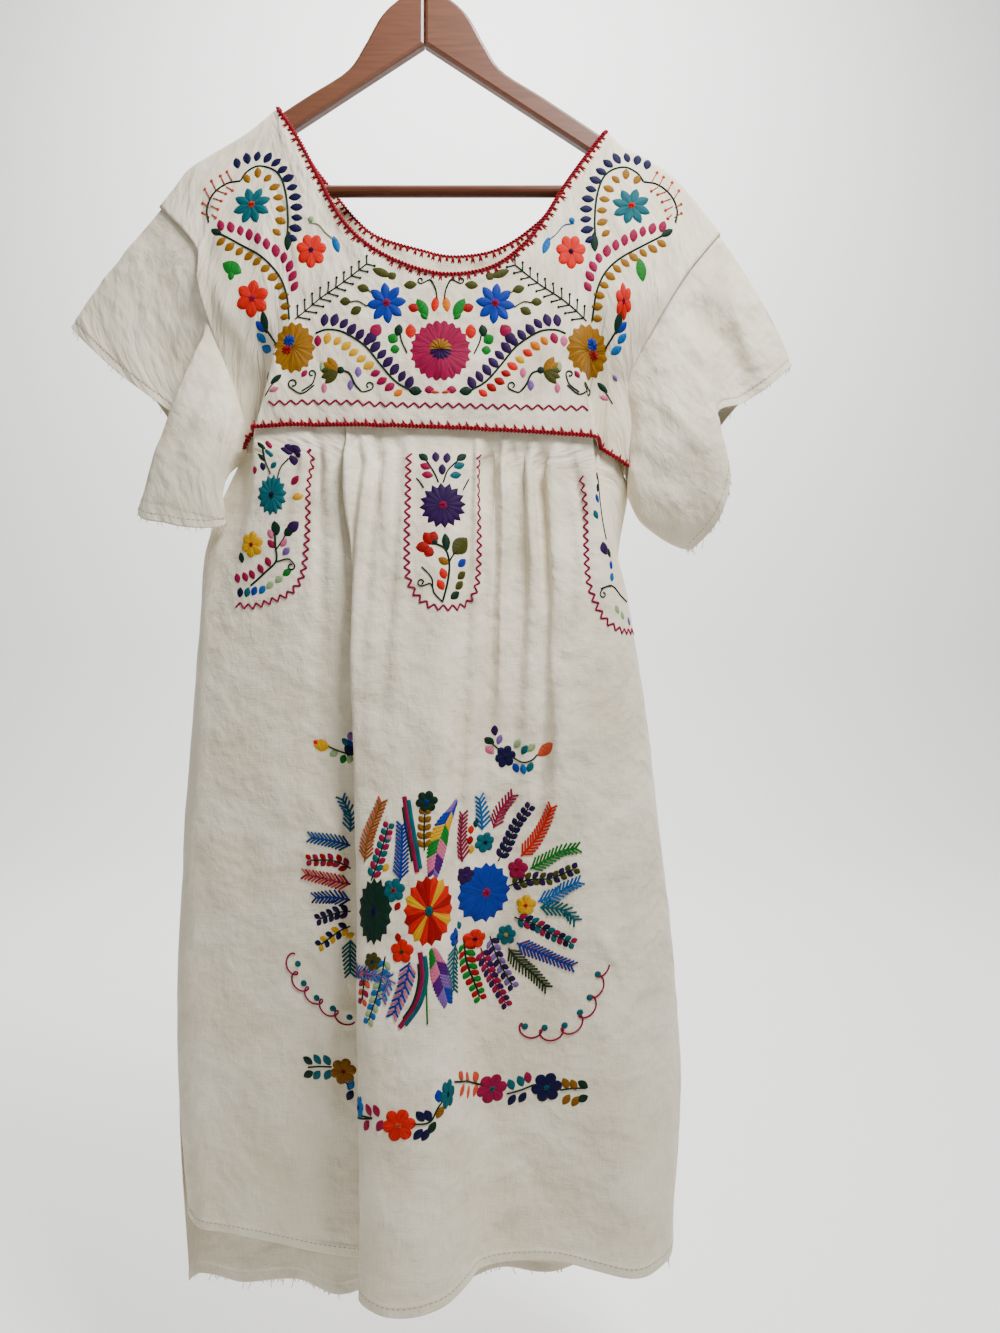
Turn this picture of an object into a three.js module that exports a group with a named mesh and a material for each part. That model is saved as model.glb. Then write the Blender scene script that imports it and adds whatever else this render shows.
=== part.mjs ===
// A Mexican peasant dress hanging on a wooden hanger.
// Millimetres, +Z up, +X to the right of someone facing the front, which faces -Y.
// The origin is the top of the hook's inner curve, where the hanger hangs on its rail.
import * as THREE from 'three';

// ---- Driving sizes -------------------------------------------------------------------
const WALL = 1.5;
const SEAM_GAP = 0.3;

const ARM_THICKNESS = 13;
const ARM_BEVEL = 3;
const ARM_REACH = 220;
const ARM_SLOPE = 0.68;
const ARM_TOP_AT_CENTRE = -84.9;
const ARM_UNDERSIDE_SLOPE = 0.653;
const ARM_UNDERSIDE_AT_CENTRE = -114;
const CROWN_TOP = -60;
const CROWN_FLAT = 9;

const BAR_DIAMETER = 11;
const BAR_Z = -247.5;
const BAR_HALF_LENGTH = 193;
const BAR_EAR = 9;

const HOOK_WIRE = 4;
const HOOK_INNER_RADIUS = 19;
const HOOK_END_ANGLE = 205;

const CORD_RADIUS = 1.5;
const CORD_SIDES = 6;

const FOLD_RADIUS = 10;

// ---- Curves through tables -----------------------------------------------------------
// Cubic Hermite curve through the knots, with each slope taken from the two neighbours,
// or level at both ends.
function through(knots, values, at, levelEnds = false) {
  const last = knots.length - 1;
  const x = THREE.MathUtils.clamp(at, knots[0], knots[last]);
  let i = 0;
  while (i < last - 1 && x > knots[i + 1]) i += 1;
  const slope = (k) => {
    if (levelEnds && (k === 0 || k === last)) return 0;
    const before = Math.max(k - 1, 0);
    const after = Math.min(k + 1, last);
    return (values[after] - values[before]) / (knots[after] - knots[before]);
  };
  const span = knots[i + 1] - knots[i];
  const f = (x - knots[i]) / span;
  const f2 = f * f;
  const f3 = f2 * f;
  return (2 * f3 - 3 * f2 + 1) * values[i]
    + (f3 - 2 * f2 + f) * span * slope(i)
    + (3 * f2 - 2 * f3) * values[i + 1]
    + (f3 - f2) * span * slope(i + 1);
}

// Looks one named column of a table up at a value of its key column.
const column = (table, key, name, at) => through(
  table.map((row) => row[key]),
  table.map((row) => row[name]),
  at,
);

// The same for a table that closes on itself over keys 0 to 1.
function ringColumn(table, key, name, at) {
  const wrapped = [
    ...table.slice(-2).map((row) => ({ ...row, [key]: row[key] - 1 })),
    ...table,
    ...table.slice(0, 2).map((row) => ({ ...row, [key]: row[key] + 1 })),
  ];
  return column(wrapped, key, name, at);
}

const smooth = (f) => THREE.MathUtils.smoothstep(f, 0, 1);
const bell = (distance, width) => Math.exp(-((distance / width) ** 2));
const evenly = (count) => Array.from({ length: count + 1 }, (_, i) => i / count);

// ---- Solids from surfaces ------------------------------------------------------------
// Builds a mesh from vertices and triangles, and turns it right side out.
function solidFrom(points, triangles) {
  let volume = 0;
  triangles.forEach(([a, b, c]) => {
    volume += points[a].dot(new THREE.Vector3().crossVectors(points[b], points[c]));
  });
  const index = triangles.flatMap(([a, b, c]) => (volume > 0 ? [a, b, c] : [a, c, b]));
  const geometry = new THREE.BufferGeometry();
  const places = points.flatMap((point) => point.toArray());
  geometry.setAttribute('position', new THREE.Float32BufferAttribute(places, 3));
  geometry.setIndex(index);
  geometry.computeVertexNormals();
  return geometry;
}

// Cloth wall: the outer face is the surface, and the inner face lies one wall inside it.
// side is +1 or -1, whichever puts the inner face on the inside of the garment.
function clothWall(surface, across, down, side, closed = false) {
  const step = 0.0008;
  const points = [];
  const normalAt = (s, t) => {
    const s0 = closed ? s - step : Math.max(s - step, across[0]);
    const s1 = closed ? s + step : Math.min(s + step, across[across.length - 1]);
    const t0 = Math.max(t - step, down[0]);
    const t1 = Math.min(t + step, down[down.length - 1]);
    const alongS = surface(s1, t).sub(surface(s0, t));
    const alongT = surface(s, t1).sub(surface(s, t0));
    return alongS.cross(alongT).normalize();
  };
  across.forEach((s) => down.forEach((t) => points.push(surface(s, t))));
  const skin = points.length;
  across.forEach((s, i) => down.forEach((t, j) => {
    const outer = points[i * down.length + j];
    points.push(outer.clone().addScaledVector(normalAt(s, t), side * WALL));
  }));
  const rows = down.length;
  const columns = across.length;
  const triangles = [];
  const quad = (a, b, c, d) => triangles.push([a, b, c], [a, c, d]);
  const lastColumn = closed ? columns : columns - 1;
  for (let i = 0; i < lastColumn; i += 1) {
    const next = ((i + 1) % columns) * rows;
    const here = i * rows;
    for (let j = 0; j < rows - 1; j += 1) {
      quad(here + j, here + j + 1, next + j + 1, next + j);
      quad(skin + here + j, skin + next + j, skin + next + j + 1, skin + here + j + 1);
    }
    quad(here, next, skin + next, skin + here);
    const end = rows - 1;
    quad(next + end, here + end, skin + here + end, skin + next + end);
  }
  if (!closed) {
    const end = (columns - 1) * rows;
    for (let j = 0; j < rows - 1; j += 1) {
      quad(j + 1, j, skin + j, skin + j + 1);
      quad(end + j, end + j + 1, skin + end + j + 1, skin + end + j);
    }
  }
  return solidFrom(points, triangles);
}

// Round cord along a list of points, with flat ends or joined into a ring.
function cord(path, radius, sides, closed) {
  const points = [];
  const triangles = [];
  const count = path.length;
  path.forEach((point, i) => {
    const before = path[closed ? (i - 1 + count) % count : Math.max(i - 1, 0)];
    const after = path[closed ? (i + 1) % count : Math.min(i + 1, count - 1)];
    const along = after.clone().sub(before).normalize();
    const out = new THREE.Vector3(0, -1, 0).addScaledVector(along, along.y).normalize();
    const up = along.clone().cross(out);
    for (let k = 0; k < sides; k += 1) {
      const angle = (2 * Math.PI * k) / sides;
      points.push(point.clone()
        .addScaledVector(out, radius * Math.cos(angle))
        .addScaledVector(up, radius * Math.sin(angle)));
    }
  });
  const rings = closed ? count : count - 1;
  for (let i = 0; i < rings; i += 1) {
    for (let k = 0; k < sides; k += 1) {
      const a = i * sides + k;
      const b = i * sides + ((k + 1) % sides);
      const c = ((i + 1) % count) * sides + ((k + 1) % sides);
      const d = ((i + 1) % count) * sides + k;
      triangles.push([a, b, c], [a, c, d]);
    }
  }
  if (!closed) {
    const last = (count - 1) * sides;
    for (let k = 1; k < sides - 1; k += 1) {
      triangles.push([0, k + 1, k], [last, last + k, last + k + 1]);
    }
  }
  return solidFrom(points, triangles);
}

// ---- Materials -----------------------------------------------------------------------
const muslin = () => new THREE.MeshStandardMaterial({ color: 0xe6e0d4, roughness: 0.9, metalness: 0 });
const redCord = () => new THREE.MeshStandardMaterial({ color: 0xb5123a, roughness: 0.8, metalness: 0 });
const stainedWood = () => new THREE.MeshStandardMaterial({
  color: 0x94583c,
  roughness: 0.45,
  metalness: 0,
});
const steel = () => new THREE.MeshStandardMaterial({ color: 0xb9bcc0, roughness: 0.3, metalness: 1 });

const group = new THREE.Group();
function add(name, geometry, material) {
  const mesh = new THREE.Mesh(geometry, material);
  mesh.name = name;
  group.add(mesh);
}

// ---- Hanger --------------------------------------------------------------------------
// Two contoured arms meet at a mitre in the middle. Near its end each arm has an ear that
// holds the round trouser bar.
const CROWN_OUTLINE = [
  { x: 22, z: -68 },
  { x: 40, z: -84.5 },
  { x: 56, z: -112.7 },
  { x: 73, z: -137 },
  { x: 112, z: -162 },
];
const armTop = (x) => ARM_TOP_AT_CENTRE - ARM_SLOPE * Math.abs(x);
const armUnderside = (x) => ARM_UNDERSIDE_AT_CENTRE - ARM_UNDERSIDE_SLOPE * Math.abs(x);

function hangerArm(side) {
  const inset = ARM_BEVEL;
  const outline = new THREE.Shape();
  const earInner = BAR_HALF_LENGTH + SEAM_GAP + inset;
  const earOuter = earInner + BAR_EAR;
  const earBottom = BAR_Z - BAR_DIAMETER / 2 - 2;
  outline.moveTo(SEAM_GAP / 2 + inset, CROWN_TOP - inset);
  outline.lineTo(CROWN_FLAT, CROWN_TOP - inset);
  outline.splineThru([
    ...CROWN_OUTLINE.map((row) => new THREE.Vector2(row.x - inset * 0.6, row.z - inset * 0.8)),
    new THREE.Vector2(163, armTop(163) - inset * 1.2),
    new THREE.Vector2(ARM_REACH - 8, armTop(ARM_REACH - 8) - inset * 1.2),
  ]);
  outline.quadraticCurveTo(ARM_REACH, armTop(ARM_REACH) - 2, ARM_REACH, earBottom + 12);
  outline.quadraticCurveTo(ARM_REACH, earBottom + inset, earOuter - 2, earBottom + inset);
  outline.lineTo(earInner, earBottom + inset);
  outline.lineTo(earInner, armUnderside(earInner - 3) + inset * 1.2);
  outline.lineTo(SEAM_GAP / 2 + inset, ARM_UNDERSIDE_AT_CENTRE + inset * 1.2);
  const geometry = new THREE.ExtrudeGeometry(outline, {
    depth: ARM_THICKNESS - 2 * ARM_BEVEL,
    bevelThickness: ARM_BEVEL,
    bevelSize: ARM_BEVEL,
    bevelSegments: 2,
    curveSegments: 4,
  });
  geometry.translate(0, 0, -(ARM_THICKNESS - 2 * ARM_BEVEL) / 2);
  geometry.rotateX(Math.PI / 2);
  if (side < 0) geometry.rotateZ(Math.PI);
  return geometry;
}
add('hanger_arm_left', hangerArm(-1), stainedWood());
add('hanger_arm_right', hangerArm(1), stainedWood());

const bar = new THREE.CylinderGeometry(BAR_DIAMETER / 2, BAR_DIAMETER / 2, 2 * BAR_HALF_LENGTH, 16);
bar.rotateZ(Math.PI / 2);
bar.translate(0, 0, BAR_Z);
add('hanger_bar', bar, stainedWood());

// The hook rises from the crown, leans to the right and sweeps over the rail.
const hookRadius = HOOK_INNER_RADIUS + HOOK_WIRE / 2;
const hookPath = [
  new THREE.Vector3(0, 0, CROWN_TOP + SEAM_GAP),
  new THREE.Vector3(0, 0, CROWN_TOP + 8),
  new THREE.Vector3(5, 0, CROWN_TOP + 15),
  new THREE.Vector3(13, 0, CROWN_TOP + 22),
];
for (let angle = -35; angle <= HOOK_END_ANGLE; angle += 15) {
  const turn = THREE.MathUtils.degToRad(angle);
  hookPath.push(new THREE.Vector3(
    hookRadius * Math.cos(turn),
    0,
    -HOOK_INNER_RADIUS + hookRadius * Math.sin(turn),
  ));
}
add('hanger_hook', cord(hookPath, HOOK_WIRE / 2, 10, false), steel());

// ---- Yoke ----------------------------------------------------------------------------
// Height of the cloth above the hanger's arms along the shoulder fold. Past the ends of
// the arms the cloth drops away.
const SHOULDER = [
  { x: -262, lift: -24 },
  { x: -248, lift: -13.3 },
  { x: -232, lift: -4 },
  { x: -221, lift: 3.2 },
  { x: -200, lift: 3 },
  { x: -175, lift: 0.7 },
  { x: -160, lift: 0.6 },
  { x: -138, lift: 3.8 },
  { x: 0, lift: 3 },
  { x: 171, lift: 4.2 },
  { x: 185, lift: 0.6 },
  { x: 200, lift: 4 },
  { x: 220, lift: 6 },
  { x: 234, lift: 4.5 },
  { x: 252, lift: -4 },
  { x: 277, lift: -18.5 },
  { x: 290, lift: -27 },
];
const CENTRE_ROUNDING = 12;
const SHOULDER_EASE = 0.25;
const CLOTH_OVER_ARM = (SEAM_GAP + WALL) * Math.hypot(1, ARM_SLOPE) + SHOULDER_EASE;
function shoulderZ(x) {
  const straight = ARM_TOP_AT_CENTRE - ARM_SLOPE * Math.hypot(x, CENTRE_ROUNDING);
  return straight + CLOTH_OVER_ARM + column(SHOULDER, 'x', 'lift', x);
}

// Most that the front and the back stand off the arms, and the drop over which they do so.
const FRONT_LEAN = { depth: 41, drop: 230 };
const BACK_LEAN = { depth: 9, drop: 150 };
const BACK_RIPPLE = { depth: 2, across: 31, starts: 60, grows: 120 };
// How far the cloth stands in front of or behind the arms, after folding over them.
function overArm(below) {
  const rise = THREE.MathUtils.clamp(below / FOLD_RADIUS, 0, 1);
  return FOLD_RADIUS * Math.cbrt(1 - (1 - rise) ** 3);
}

const leaning = (lean, below) => lean.depth * (1 - Math.exp(-Math.max(below, 0) / lean.drop));

// Below the chest the front stands forward and steps back at a crease on each side.
const LEFT_CREASE = {
  x: -129, z: -402.7, lean: 0.29, starts: -345, full: -450, depth: 26, width: 5, softWidth: 40,
};
const RIGHT_CREASE = {
  x: 139, z: -398, lean: -0.2, starts: -350, full: -450, depth: 27, width: 5, softWidth: 40,
};
const SOFT_CREASE_GROWS = 50;
const SOFT_CREASES = [
  { x: -97, top: -385, depth: 2, width: 8 },
  { x: 60, top: -420, depth: 1.2, width: 10 },
  { x: -40, top: -415, depth: 2, width: 9 },
];
function creaseStep(crease, x, z, side) {
  const line = crease.x + crease.lean * (z - crease.z);
  const grown = smooth((crease.starts - z) / (crease.starts - crease.full));
  const width = THREE.MathUtils.lerp(crease.softWidth, crease.width, grown);
  return crease.depth * smooth((side * (x - line)) / width) * grown;
}
function frontY(x, z) {
  const below = shoulderZ(x) - z;
  const hang = leaning(FRONT_LEAN, below);
  const steps = creaseStep(LEFT_CREASE, x, z, -1) + creaseStep(RIGHT_CREASE, x, z, 1);
  const soft = SOFT_CREASES.reduce((sum, crease) => {
    const grown = smooth((crease.top - z) / SOFT_CREASE_GROWS);
    return sum + crease.depth * bell(x - crease.x, crease.width) * grown;
  }, 0);
  return -overArm(below) - hang + steps + soft;
}
function backY(x, z) {
  const below = shoulderZ(x) - z;
  const grown = smooth((below - BACK_RIPPLE.starts) / BACK_RIPPLE.grows);
  const ripple = BACK_RIPPLE.depth * Math.sin(x / BACK_RIPPLE.across) * grown;
  return overArm(below) + leaning(BACK_LEAN, below) + ripple;
}

// Top edge from the left armhole over the shoulder, round the neck and over the other
// shoulder. Rows with no z lie on the shoulder fold.
const FRONT_TOP = [
  { at: 0, x: -248 },
  { at: 0.08, x: -210 },
  { at: 0.15, x: -165 },
  { at: 0.2, x: -138 },
  { at: 0.23, x: -118, z: -204.9 },
  { at: 0.27, x: -98, z: -243.5 },
  { at: 0.32, x: -76, z: -284.6 },
  { at: 0.38, x: -49.5, z: -312.5 },
  { at: 0.45, x: -10.7, z: -333.3 },
  { at: 0.5, x: 22.3, z: -340.5 },
  { at: 0.57, x: 63, z: -333.3 },
  { at: 0.63, x: 92.5, z: -311.6 },
  { at: 0.68, x: 112.4, z: -284.6 },
  { at: 0.73, x: 132.5, z: -250.9 },
  { at: 0.77, x: 152.2, z: -221.6 },
  { at: 0.8, x: 171 },
  { at: 0.86, x: 205 },
  { at: 0.93, x: 240 },
  { at: 1, x: 277 },
];
const BACK_TOP = [
  { at: 0, x: -248 },
  { at: 0.08, x: -210 },
  { at: 0.15, x: -165 },
  { at: 0.2, x: -138 },
  { at: 0.25, x: -117, z: -206 },
  { at: 0.31, x: -91.8, z: -239 },
  { at: 0.36, x: -67, z: -269.4 },
  { at: 0.4, x: -46.2, z: -285.5 },
  { at: 0.46, x: -6.4, z: -297 },
  { at: 0.51, x: 25.9, z: -302.6 },
  { at: 0.57, x: 68.6, z: -296 },
  { at: 0.64, x: 106, z: -273 },
  { at: 0.7, x: 134, z: -241.8 },
  { at: 0.75, x: 154, z: -215 },
  { at: 0.8, x: 171 },
  { at: 0.86, x: 205 },
  { at: 0.93, x: 240 },
  { at: 1, x: 277 },
];
// Bottom edge of each yoke, along the seam with the skirt.
const FRONT_SEAM = [
  { at: 0, x: -166, z: -495 },
  { at: 0.14, x: -161, z: -483 },
  { at: 0.22, x: -158, z: -479.5 },
  { at: 0.27, x: -156, z: -479 },
  { at: 0.3, x: -149, z: -479 },
  { at: 0.312, x: -144, z: -478.8 },
  { at: 0.36, x: -112, z: -477 },
  { at: 0.5, x: 6, z: -480 },
  { at: 0.6, x: 98, z: -484 },
  { at: 0.67, x: 152, z: -487.5 },
  { at: 0.7, x: 159, z: -490 },
  { at: 1, x: 192, z: -511 },
];
const BACK_SEAM = [
  { at: 0, x: -166, z: -495 },
  { at: 0.5, x: 10, z: -488 },
  { at: 1, x: 192, z: -511 },
];
// Armhole edges, from the shoulder down.
const LEFT_ARMHOLE = [
  { down: 0, x: -248, z: -265 },
  { down: 0.2, x: -209, z: -309 },
  { down: 0.35, x: -206, z: -344 },
  { down: 0.62, x: -187, z: -408 },
  { down: 0.9, x: -167, z: -472 },
  { down: 1, x: -166, z: -495 },
];
const RIGHT_ARMHOLE = [
  { down: 0, x: 277, z: -290 },
  { down: 0.17, x: 245, z: -330 },
  { down: 0.38, x: 214, z: -380 },
  { down: 0.6, x: 191, z: -427 },
  { down: 0.8, x: 194, z: -465 },
  { down: 1, x: 192, z: -511 },
];

// The neck points: left of the first and right of the second, the top edge is a fold.
const LEFT_NECK = 0.2;
const RIGHT_NECK = 0.8;
function topEdge(table, at) {
  const shoulderRows = table.filter((row) => (at < 0.5 ? row.at <= LEFT_NECK : row.at >= RIGHT_NECK));
  if (at <= LEFT_NECK || at >= RIGHT_NECK) {
    const x = column(shoulderRows, 'at', 'x', at);
    return { x, z: shoulderZ(x) };
  }
  const neckRows = table
    .filter((row) => row.at >= LEFT_NECK && row.at <= RIGHT_NECK)
    .map((row) => ({ ...row, z: row.z ?? shoulderZ(row.x) }));
  return { x: column(neckRows, 'at', 'x', at), z: column(neckRows, 'at', 'z', at) };
}

const seamZ = (seamTable, x) => column(seamTable, 'x', 'z', x);

// A yoke is a patch between its top edge, its seam and the two armholes. The armholes'
// bows fade out towards the middle.
const BOW_FADE = 9;
function yokePlan(topTable, seamTable, s, t) {
  const top = topEdge(topTable, s);
  const bottomX = column(seamTable, 'at', 'x', s);
  const bottom = { x: bottomX, z: seamZ(seamTable, bottomX) };
  const plan = {};
  ['x', 'z'].forEach((axis) => {
    const bow = (table) => column(table, 'down', axis, t)
      - THREE.MathUtils.lerp(table[0][axis], table[table.length - 1][axis], t);
    plan[axis] = THREE.MathUtils.lerp(top[axis], bottom[axis], t)
      + (1 - s) ** BOW_FADE * bow(LEFT_ARMHOLE) + s ** BOW_FADE * bow(RIGHT_ARMHOLE);
  });
  return plan;
}
const yokeFront = (s, t) => {
  const { x, z } = yokePlan(FRONT_TOP, FRONT_SEAM, s, t);
  return new THREE.Vector3(x, frontY(x, z) - SEAM_GAP / 2, z);
};
const yokeBack = (s, t) => {
  const { x, z } = yokePlan(BACK_TOP, BACK_SEAM, s, t);
  return new THREE.Vector3(x, backY(x, z) + SEAM_GAP / 2, z);
};
const YOKE_DOWN = [0, 0.004, 0.013, 0.03, 0.06, 0.12, 0.22, 0.34, 0.47, 0.6, 0.73, 0.86, 1];
const YOKE_ACROSS = [
  0, 0.04, 0.08, 0.115, 0.15, 0.18, 0.2, 0.2025, 0.207, 0.216, 0.23, 0.25, 0.265, 0.275, 0.283, 0.289,
  0.295, 0.302, 0.312, 0.325, 0.336, 0.348, 0.37, 0.4, 0.43, 0.46, 0.5, 0.54, 0.57, 0.6, 0.625,
  0.645, 0.655, 0.664, 0.672, 0.68, 0.688, 0.696, 0.706, 0.72, 0.745, 0.77, 0.785, 0.794, 0.7975, 0.8,
  0.83, 0.86, 0.895, 0.93, 0.965, 1,
];
add('yoke_front', clothWall(yokeFront, YOKE_ACROSS, YOKE_DOWN, 1), muslin());
const BACK_ACROSS = [
  0, 0.05, 0.1, 0.15, 0.18, 0.2, 0.2025, 0.208, 0.22, 0.25, 0.28, 0.31, 0.34, 0.37, 0.4, 0.43,
  0.46, 0.5, 0.54, 0.57, 0.6, 0.64, 0.67, 0.7, 0.73, 0.76, 0.784, 0.794, 0.7975, 0.8, 0.83, 0.87,
  0.93, 1,
];
add('yoke_back', clothWall(yokeBack, BACK_ACROSS, YOKE_DOWN, -1), muslin());

// ---- Crochet edging ------------------------------------------------------------------
// Thick red cord worked along the neck edge, and over the yoke seam in front and behind.
function edgeFrame(surface, s, t, outward) {
  const step = 0.0005;
  const s0 = s > 0.5 ? s - step : s;
  const t0 = t > 0.5 ? t - step : t;
  const along = surface(s0 + step, t).sub(surface(s0, t)).normalize();
  const down = surface(s, t0 + step).sub(surface(s, t0));
  const out = along.clone().cross(down).normalize().multiplyScalar(-outward);
  const up = along.clone().cross(out).normalize().multiplyScalar(-outward);
  return { point: surface(s, t), out, up };
}
const CORD_OFFSET = CORD_RADIUS + SEAM_GAP;
const NECK_CORD_RISE = CORD_OFFSET + 0.45;
const SEAM_CORD_STAND = CORD_OFFSET + 0.5;
const NECK_STOPS = [
  0.203, 0.209, 0.22, 0.24, 0.265, 0.29, 0.32, 0.35, 0.38, 0.41, 0.44, 0.47, 0.5, 0.53, 0.56,
  0.59, 0.62, 0.65, 0.68, 0.71, 0.74, 0.765, 0.785, 0.793, 0.797,
];
function neckPath(surface, outward, stops) {
  return stops.map((s) => {
    const { point, out, up } = edgeFrame(surface, s, 0, outward);
    return point.addScaledVector(up, NECK_CORD_RISE).addScaledVector(out, -WALL / 2);
  });
}
const neckRing = [
  ...neckPath(yokeFront, 1, NECK_STOPS),
  ...neckPath(yokeBack, -1, [...NECK_STOPS].reverse()),
];
add('neck_edging', cord(neckRing, CORD_RADIUS, CORD_SIDES, true), redCord());

function seamPath(surface, outward, stops) {
  return stops.map((s) => {
    const { point, out, up } = edgeFrame(surface, s, 1, outward);
    return point.addScaledVector(out, SEAM_CORD_STAND).addScaledVector(up, CORD_OFFSET);
  });
}
// The cord starts and ends just short of the side seams.
const CORD_ENDS = [0.02, 0.98];
const seamStops = (columns) => [
  CORD_ENDS[0],
  ...columns.filter((s) => s > CORD_ENDS[0] && s < CORD_ENDS[1]),
  CORD_ENDS[1],
];
const seamCord = (surface, outward, columns) => cord(
  seamPath(surface, outward, seamStops(columns)),
  CORD_RADIUS,
  CORD_SIDES,
  false,
);
add('yoke_edging_front', seamCord(yokeFront, 1, YOKE_ACROSS), redCord());
add('yoke_edging_back', seamCord(yokeBack, -1, BACK_ACROSS), redCord());

// ---- Skirt ---------------------------------------------------------------------------
// Each row is a fold line that runs down the cloth from the yoke to the hem, given where
// it crosses the yoke seam, the underarm, the hip, the thigh, the knee and the hem.
const LEVELS = [0, 0.09, 0.19, 0.51, 0.78, 1];
const FRONT_FOLDS = [
  { name: 'side_left', x: [-167, -203, -210, -226, -232, -223], y: [0, 1, 0, 0, 0, 5] },
  { name: 'turn_left', x: [-165, -192, -200, -214, -218, -205], y: [-12, -13, -22, -26, -26, -28] },
  { name: 'step_foot', x: [-154, -166, -180, -190, -183, -178], y: [-13, -22, -31, -38, -38, -38] },
  { name: 'step_crest', x: [-149, -151, -160, -160, -154, -150], y: [-39, -40, -38, -45, -45, -45] },
  { name: 'panel_left', x: [-112, -114, -118, -112, -103, -95], y: [-42, -45, -47, -54, -56, -57] },
  { name: 'under_edge', x: [-76, -75, -76, -66, -57, -50], y: [-41, -45, -50, -58, -61, -64] },
  { name: 'under_valley', x: [-54, -52, -42, -20, -12, -6], y: [-31, -35, -44, -52, -61, -68] },
  { name: 'overlap_crest', x: [-68, -67, -62, -52, -48, -44], y: [-46, -53, -63, -82, -98, -112] },
  { name: 'crest_front', x: [-52, -50, -46, -36, -33, -30], y: [-45, -59, -70, -97, -120, -138] },
  { name: 'centre', x: [18, 18, 18, 12, 2, -6], y: [-43, -58, -71, -100, -124, -143] },
  { name: 'centre_right', x: [50, 50, 48, 40, 31, 24], y: [-43, -55, -66, -90, -113, -132] },
  { name: 'valley_wall', x: [62, 62, 60, 54, 47, 42], y: [-42, -52, -60, -74, -92, -107] },
  { name: 'valley', x: [74, 74, 73, 68, 61, 55], y: [-41, -47, -54, -66, -76, -85] },
  { name: 'plain_right', x: [96, 97, 99, 98, 91, 86], y: [-42, -49, -58, -70, -74, -77] },
  { name: 'front_right', x: [126, 128, 133, 138, 131, 126], y: [-41, -48, -60, -74, -76, -78] },
  { name: 'crest_right', x: [152, 157, 166, 178, 180, 182], y: [-40, -45, -52, -66, -82, -95] },
  { name: 'turn_right', x: [158, 165, 183, 208, 219, 214], y: [-14, -24, -32, -42, -50, -72] },
  { name: 'back_of_turn', x: [176, 174, 190, 220, 235, 227], y: [-11, -12, -15, -19, -22, -32] },
  { name: 'side_right', x: [191, 181, 188, 219, 239, 229], y: [0, 0, 0, 0, 0, 0] },
];
// Pleats pressed into the front under the yoke, where each one starts and how it fades.
const PLEAT_FADE = 1.3;
const PLEAT_SPREAD = 2;
const FRONT_PLEATS = [
  { x: -134, depth: 4, width: 5, reach: 0.16, drift: -10 },
  { x: -92, depth: 8, width: 4.5, reach: 0.5, drift: 2 },
  { x: -36, depth: 8, width: 4.5, reach: 0.42, drift: 5 },
  { x: -16, depth: 5, width: 4, reach: 0.3, drift: 2 },
  { x: 58, depth: 7, width: 4, reach: 0.34, drift: 4 },
  { x: 83, depth: 6, width: 5, reach: 0.45, drift: 6 },
  { x: 108, depth: 8, width: 4.5, reach: 0.6, drift: 10 },
  { x: 132, depth: 5, width: 4.5, reach: 0.3, drift: 12 },
];
// The back hangs flatter. Rows run across it, with how far each line stands back.
const BACK_FOLDS = [
  { across: 0, y: [0, 1, 0, 0, 3, 5] },
  { across: 0.035, y: [12, 12, 14, 16, 18, 20] },
  { across: 0.12, y: [17, 19, 22, 23, 21, 20] },
  { across: 0.22, y: [17, 20, 26, 32, 34, 35] },
  { across: 0.32, y: [17, 19, 22, 20, 17, 14] },
  { across: 0.43, y: [17, 20, 28, 35, 37, 38] },
  { across: 0.54, y: [17, 19, 24, 24, 21, 18] },
  { across: 0.64, y: [17, 20, 28, 36, 36, 36] },
  { across: 0.75, y: [17, 19, 22, 22, 19, 16] },
  { across: 0.86, y: [16, 18, 24, 30, 30, 30] },
  { across: 0.96, y: [12, 12, 14, 18, 19, 20] },
  { across: 1, y: [0, 0, 0, 0, 0, 0] },
];
const BACK_PLEATS = [
  { x: -128, depth: -6, width: 5, reach: 0.4, drift: -12 },
  { x: -98, depth: -8, width: 4.5, reach: 0.5, drift: -8 },
  { x: -70, depth: -6, width: 4.5, reach: 0.35, drift: -5 },
  { x: -30, depth: -8, width: 5, reach: 0.5, drift: -2 },
  { x: 4, depth: -7, width: 4.5, reach: 0.4, drift: 0 },
  { x: 38, depth: -8, width: 5, reach: 0.55, drift: 3 },
  { x: 74, depth: -6, width: 4.5, reach: 0.35, drift: 6 },
  { x: 104, depth: -8, width: 5, reach: 0.5, drift: 10 },
  { x: 140, depth: -6, width: 5, reach: 0.4, drift: 16 },
];
const FRONT_HEM = [
  { x: -230, z: -1203 },
  { x: -150, z: -1206 },
  { x: -50, z: -1212 },
  { x: 0, z: -1214 },
  { x: 60, z: -1208 },
  { x: 120, z: -1207 },
  { x: 190, z: -1212 },
  { x: 232, z: -1210 },
];
const BACK_HEM = [
  { x: -230, z: -1273 },
  { x: -168, z: -1286 },
  { x: -90, z: -1293 },
  { x: 0, z: -1289 },
  { x: 80, z: -1279 },
  { x: 160, z: -1265 },
  { x: 232, z: -1255 },
];
// The skirt's top edge follows the yoke seam, and dips below the armhole at each side.
const UNDERARM_DIP = 22;
const YOKE_GAP = 0.5;
function skirtTop(seamTable, x, s, turn) {
  const fromSide = Math.min(s, 1 - s) / turn;
  return seamZ(seamTable, x) - YOKE_GAP - UNDERARM_DIP * smooth(1 - fromSide);
}

const rowKeys = (count) => Array.from({ length: count }, (_, i) => i / (count - 1));
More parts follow.
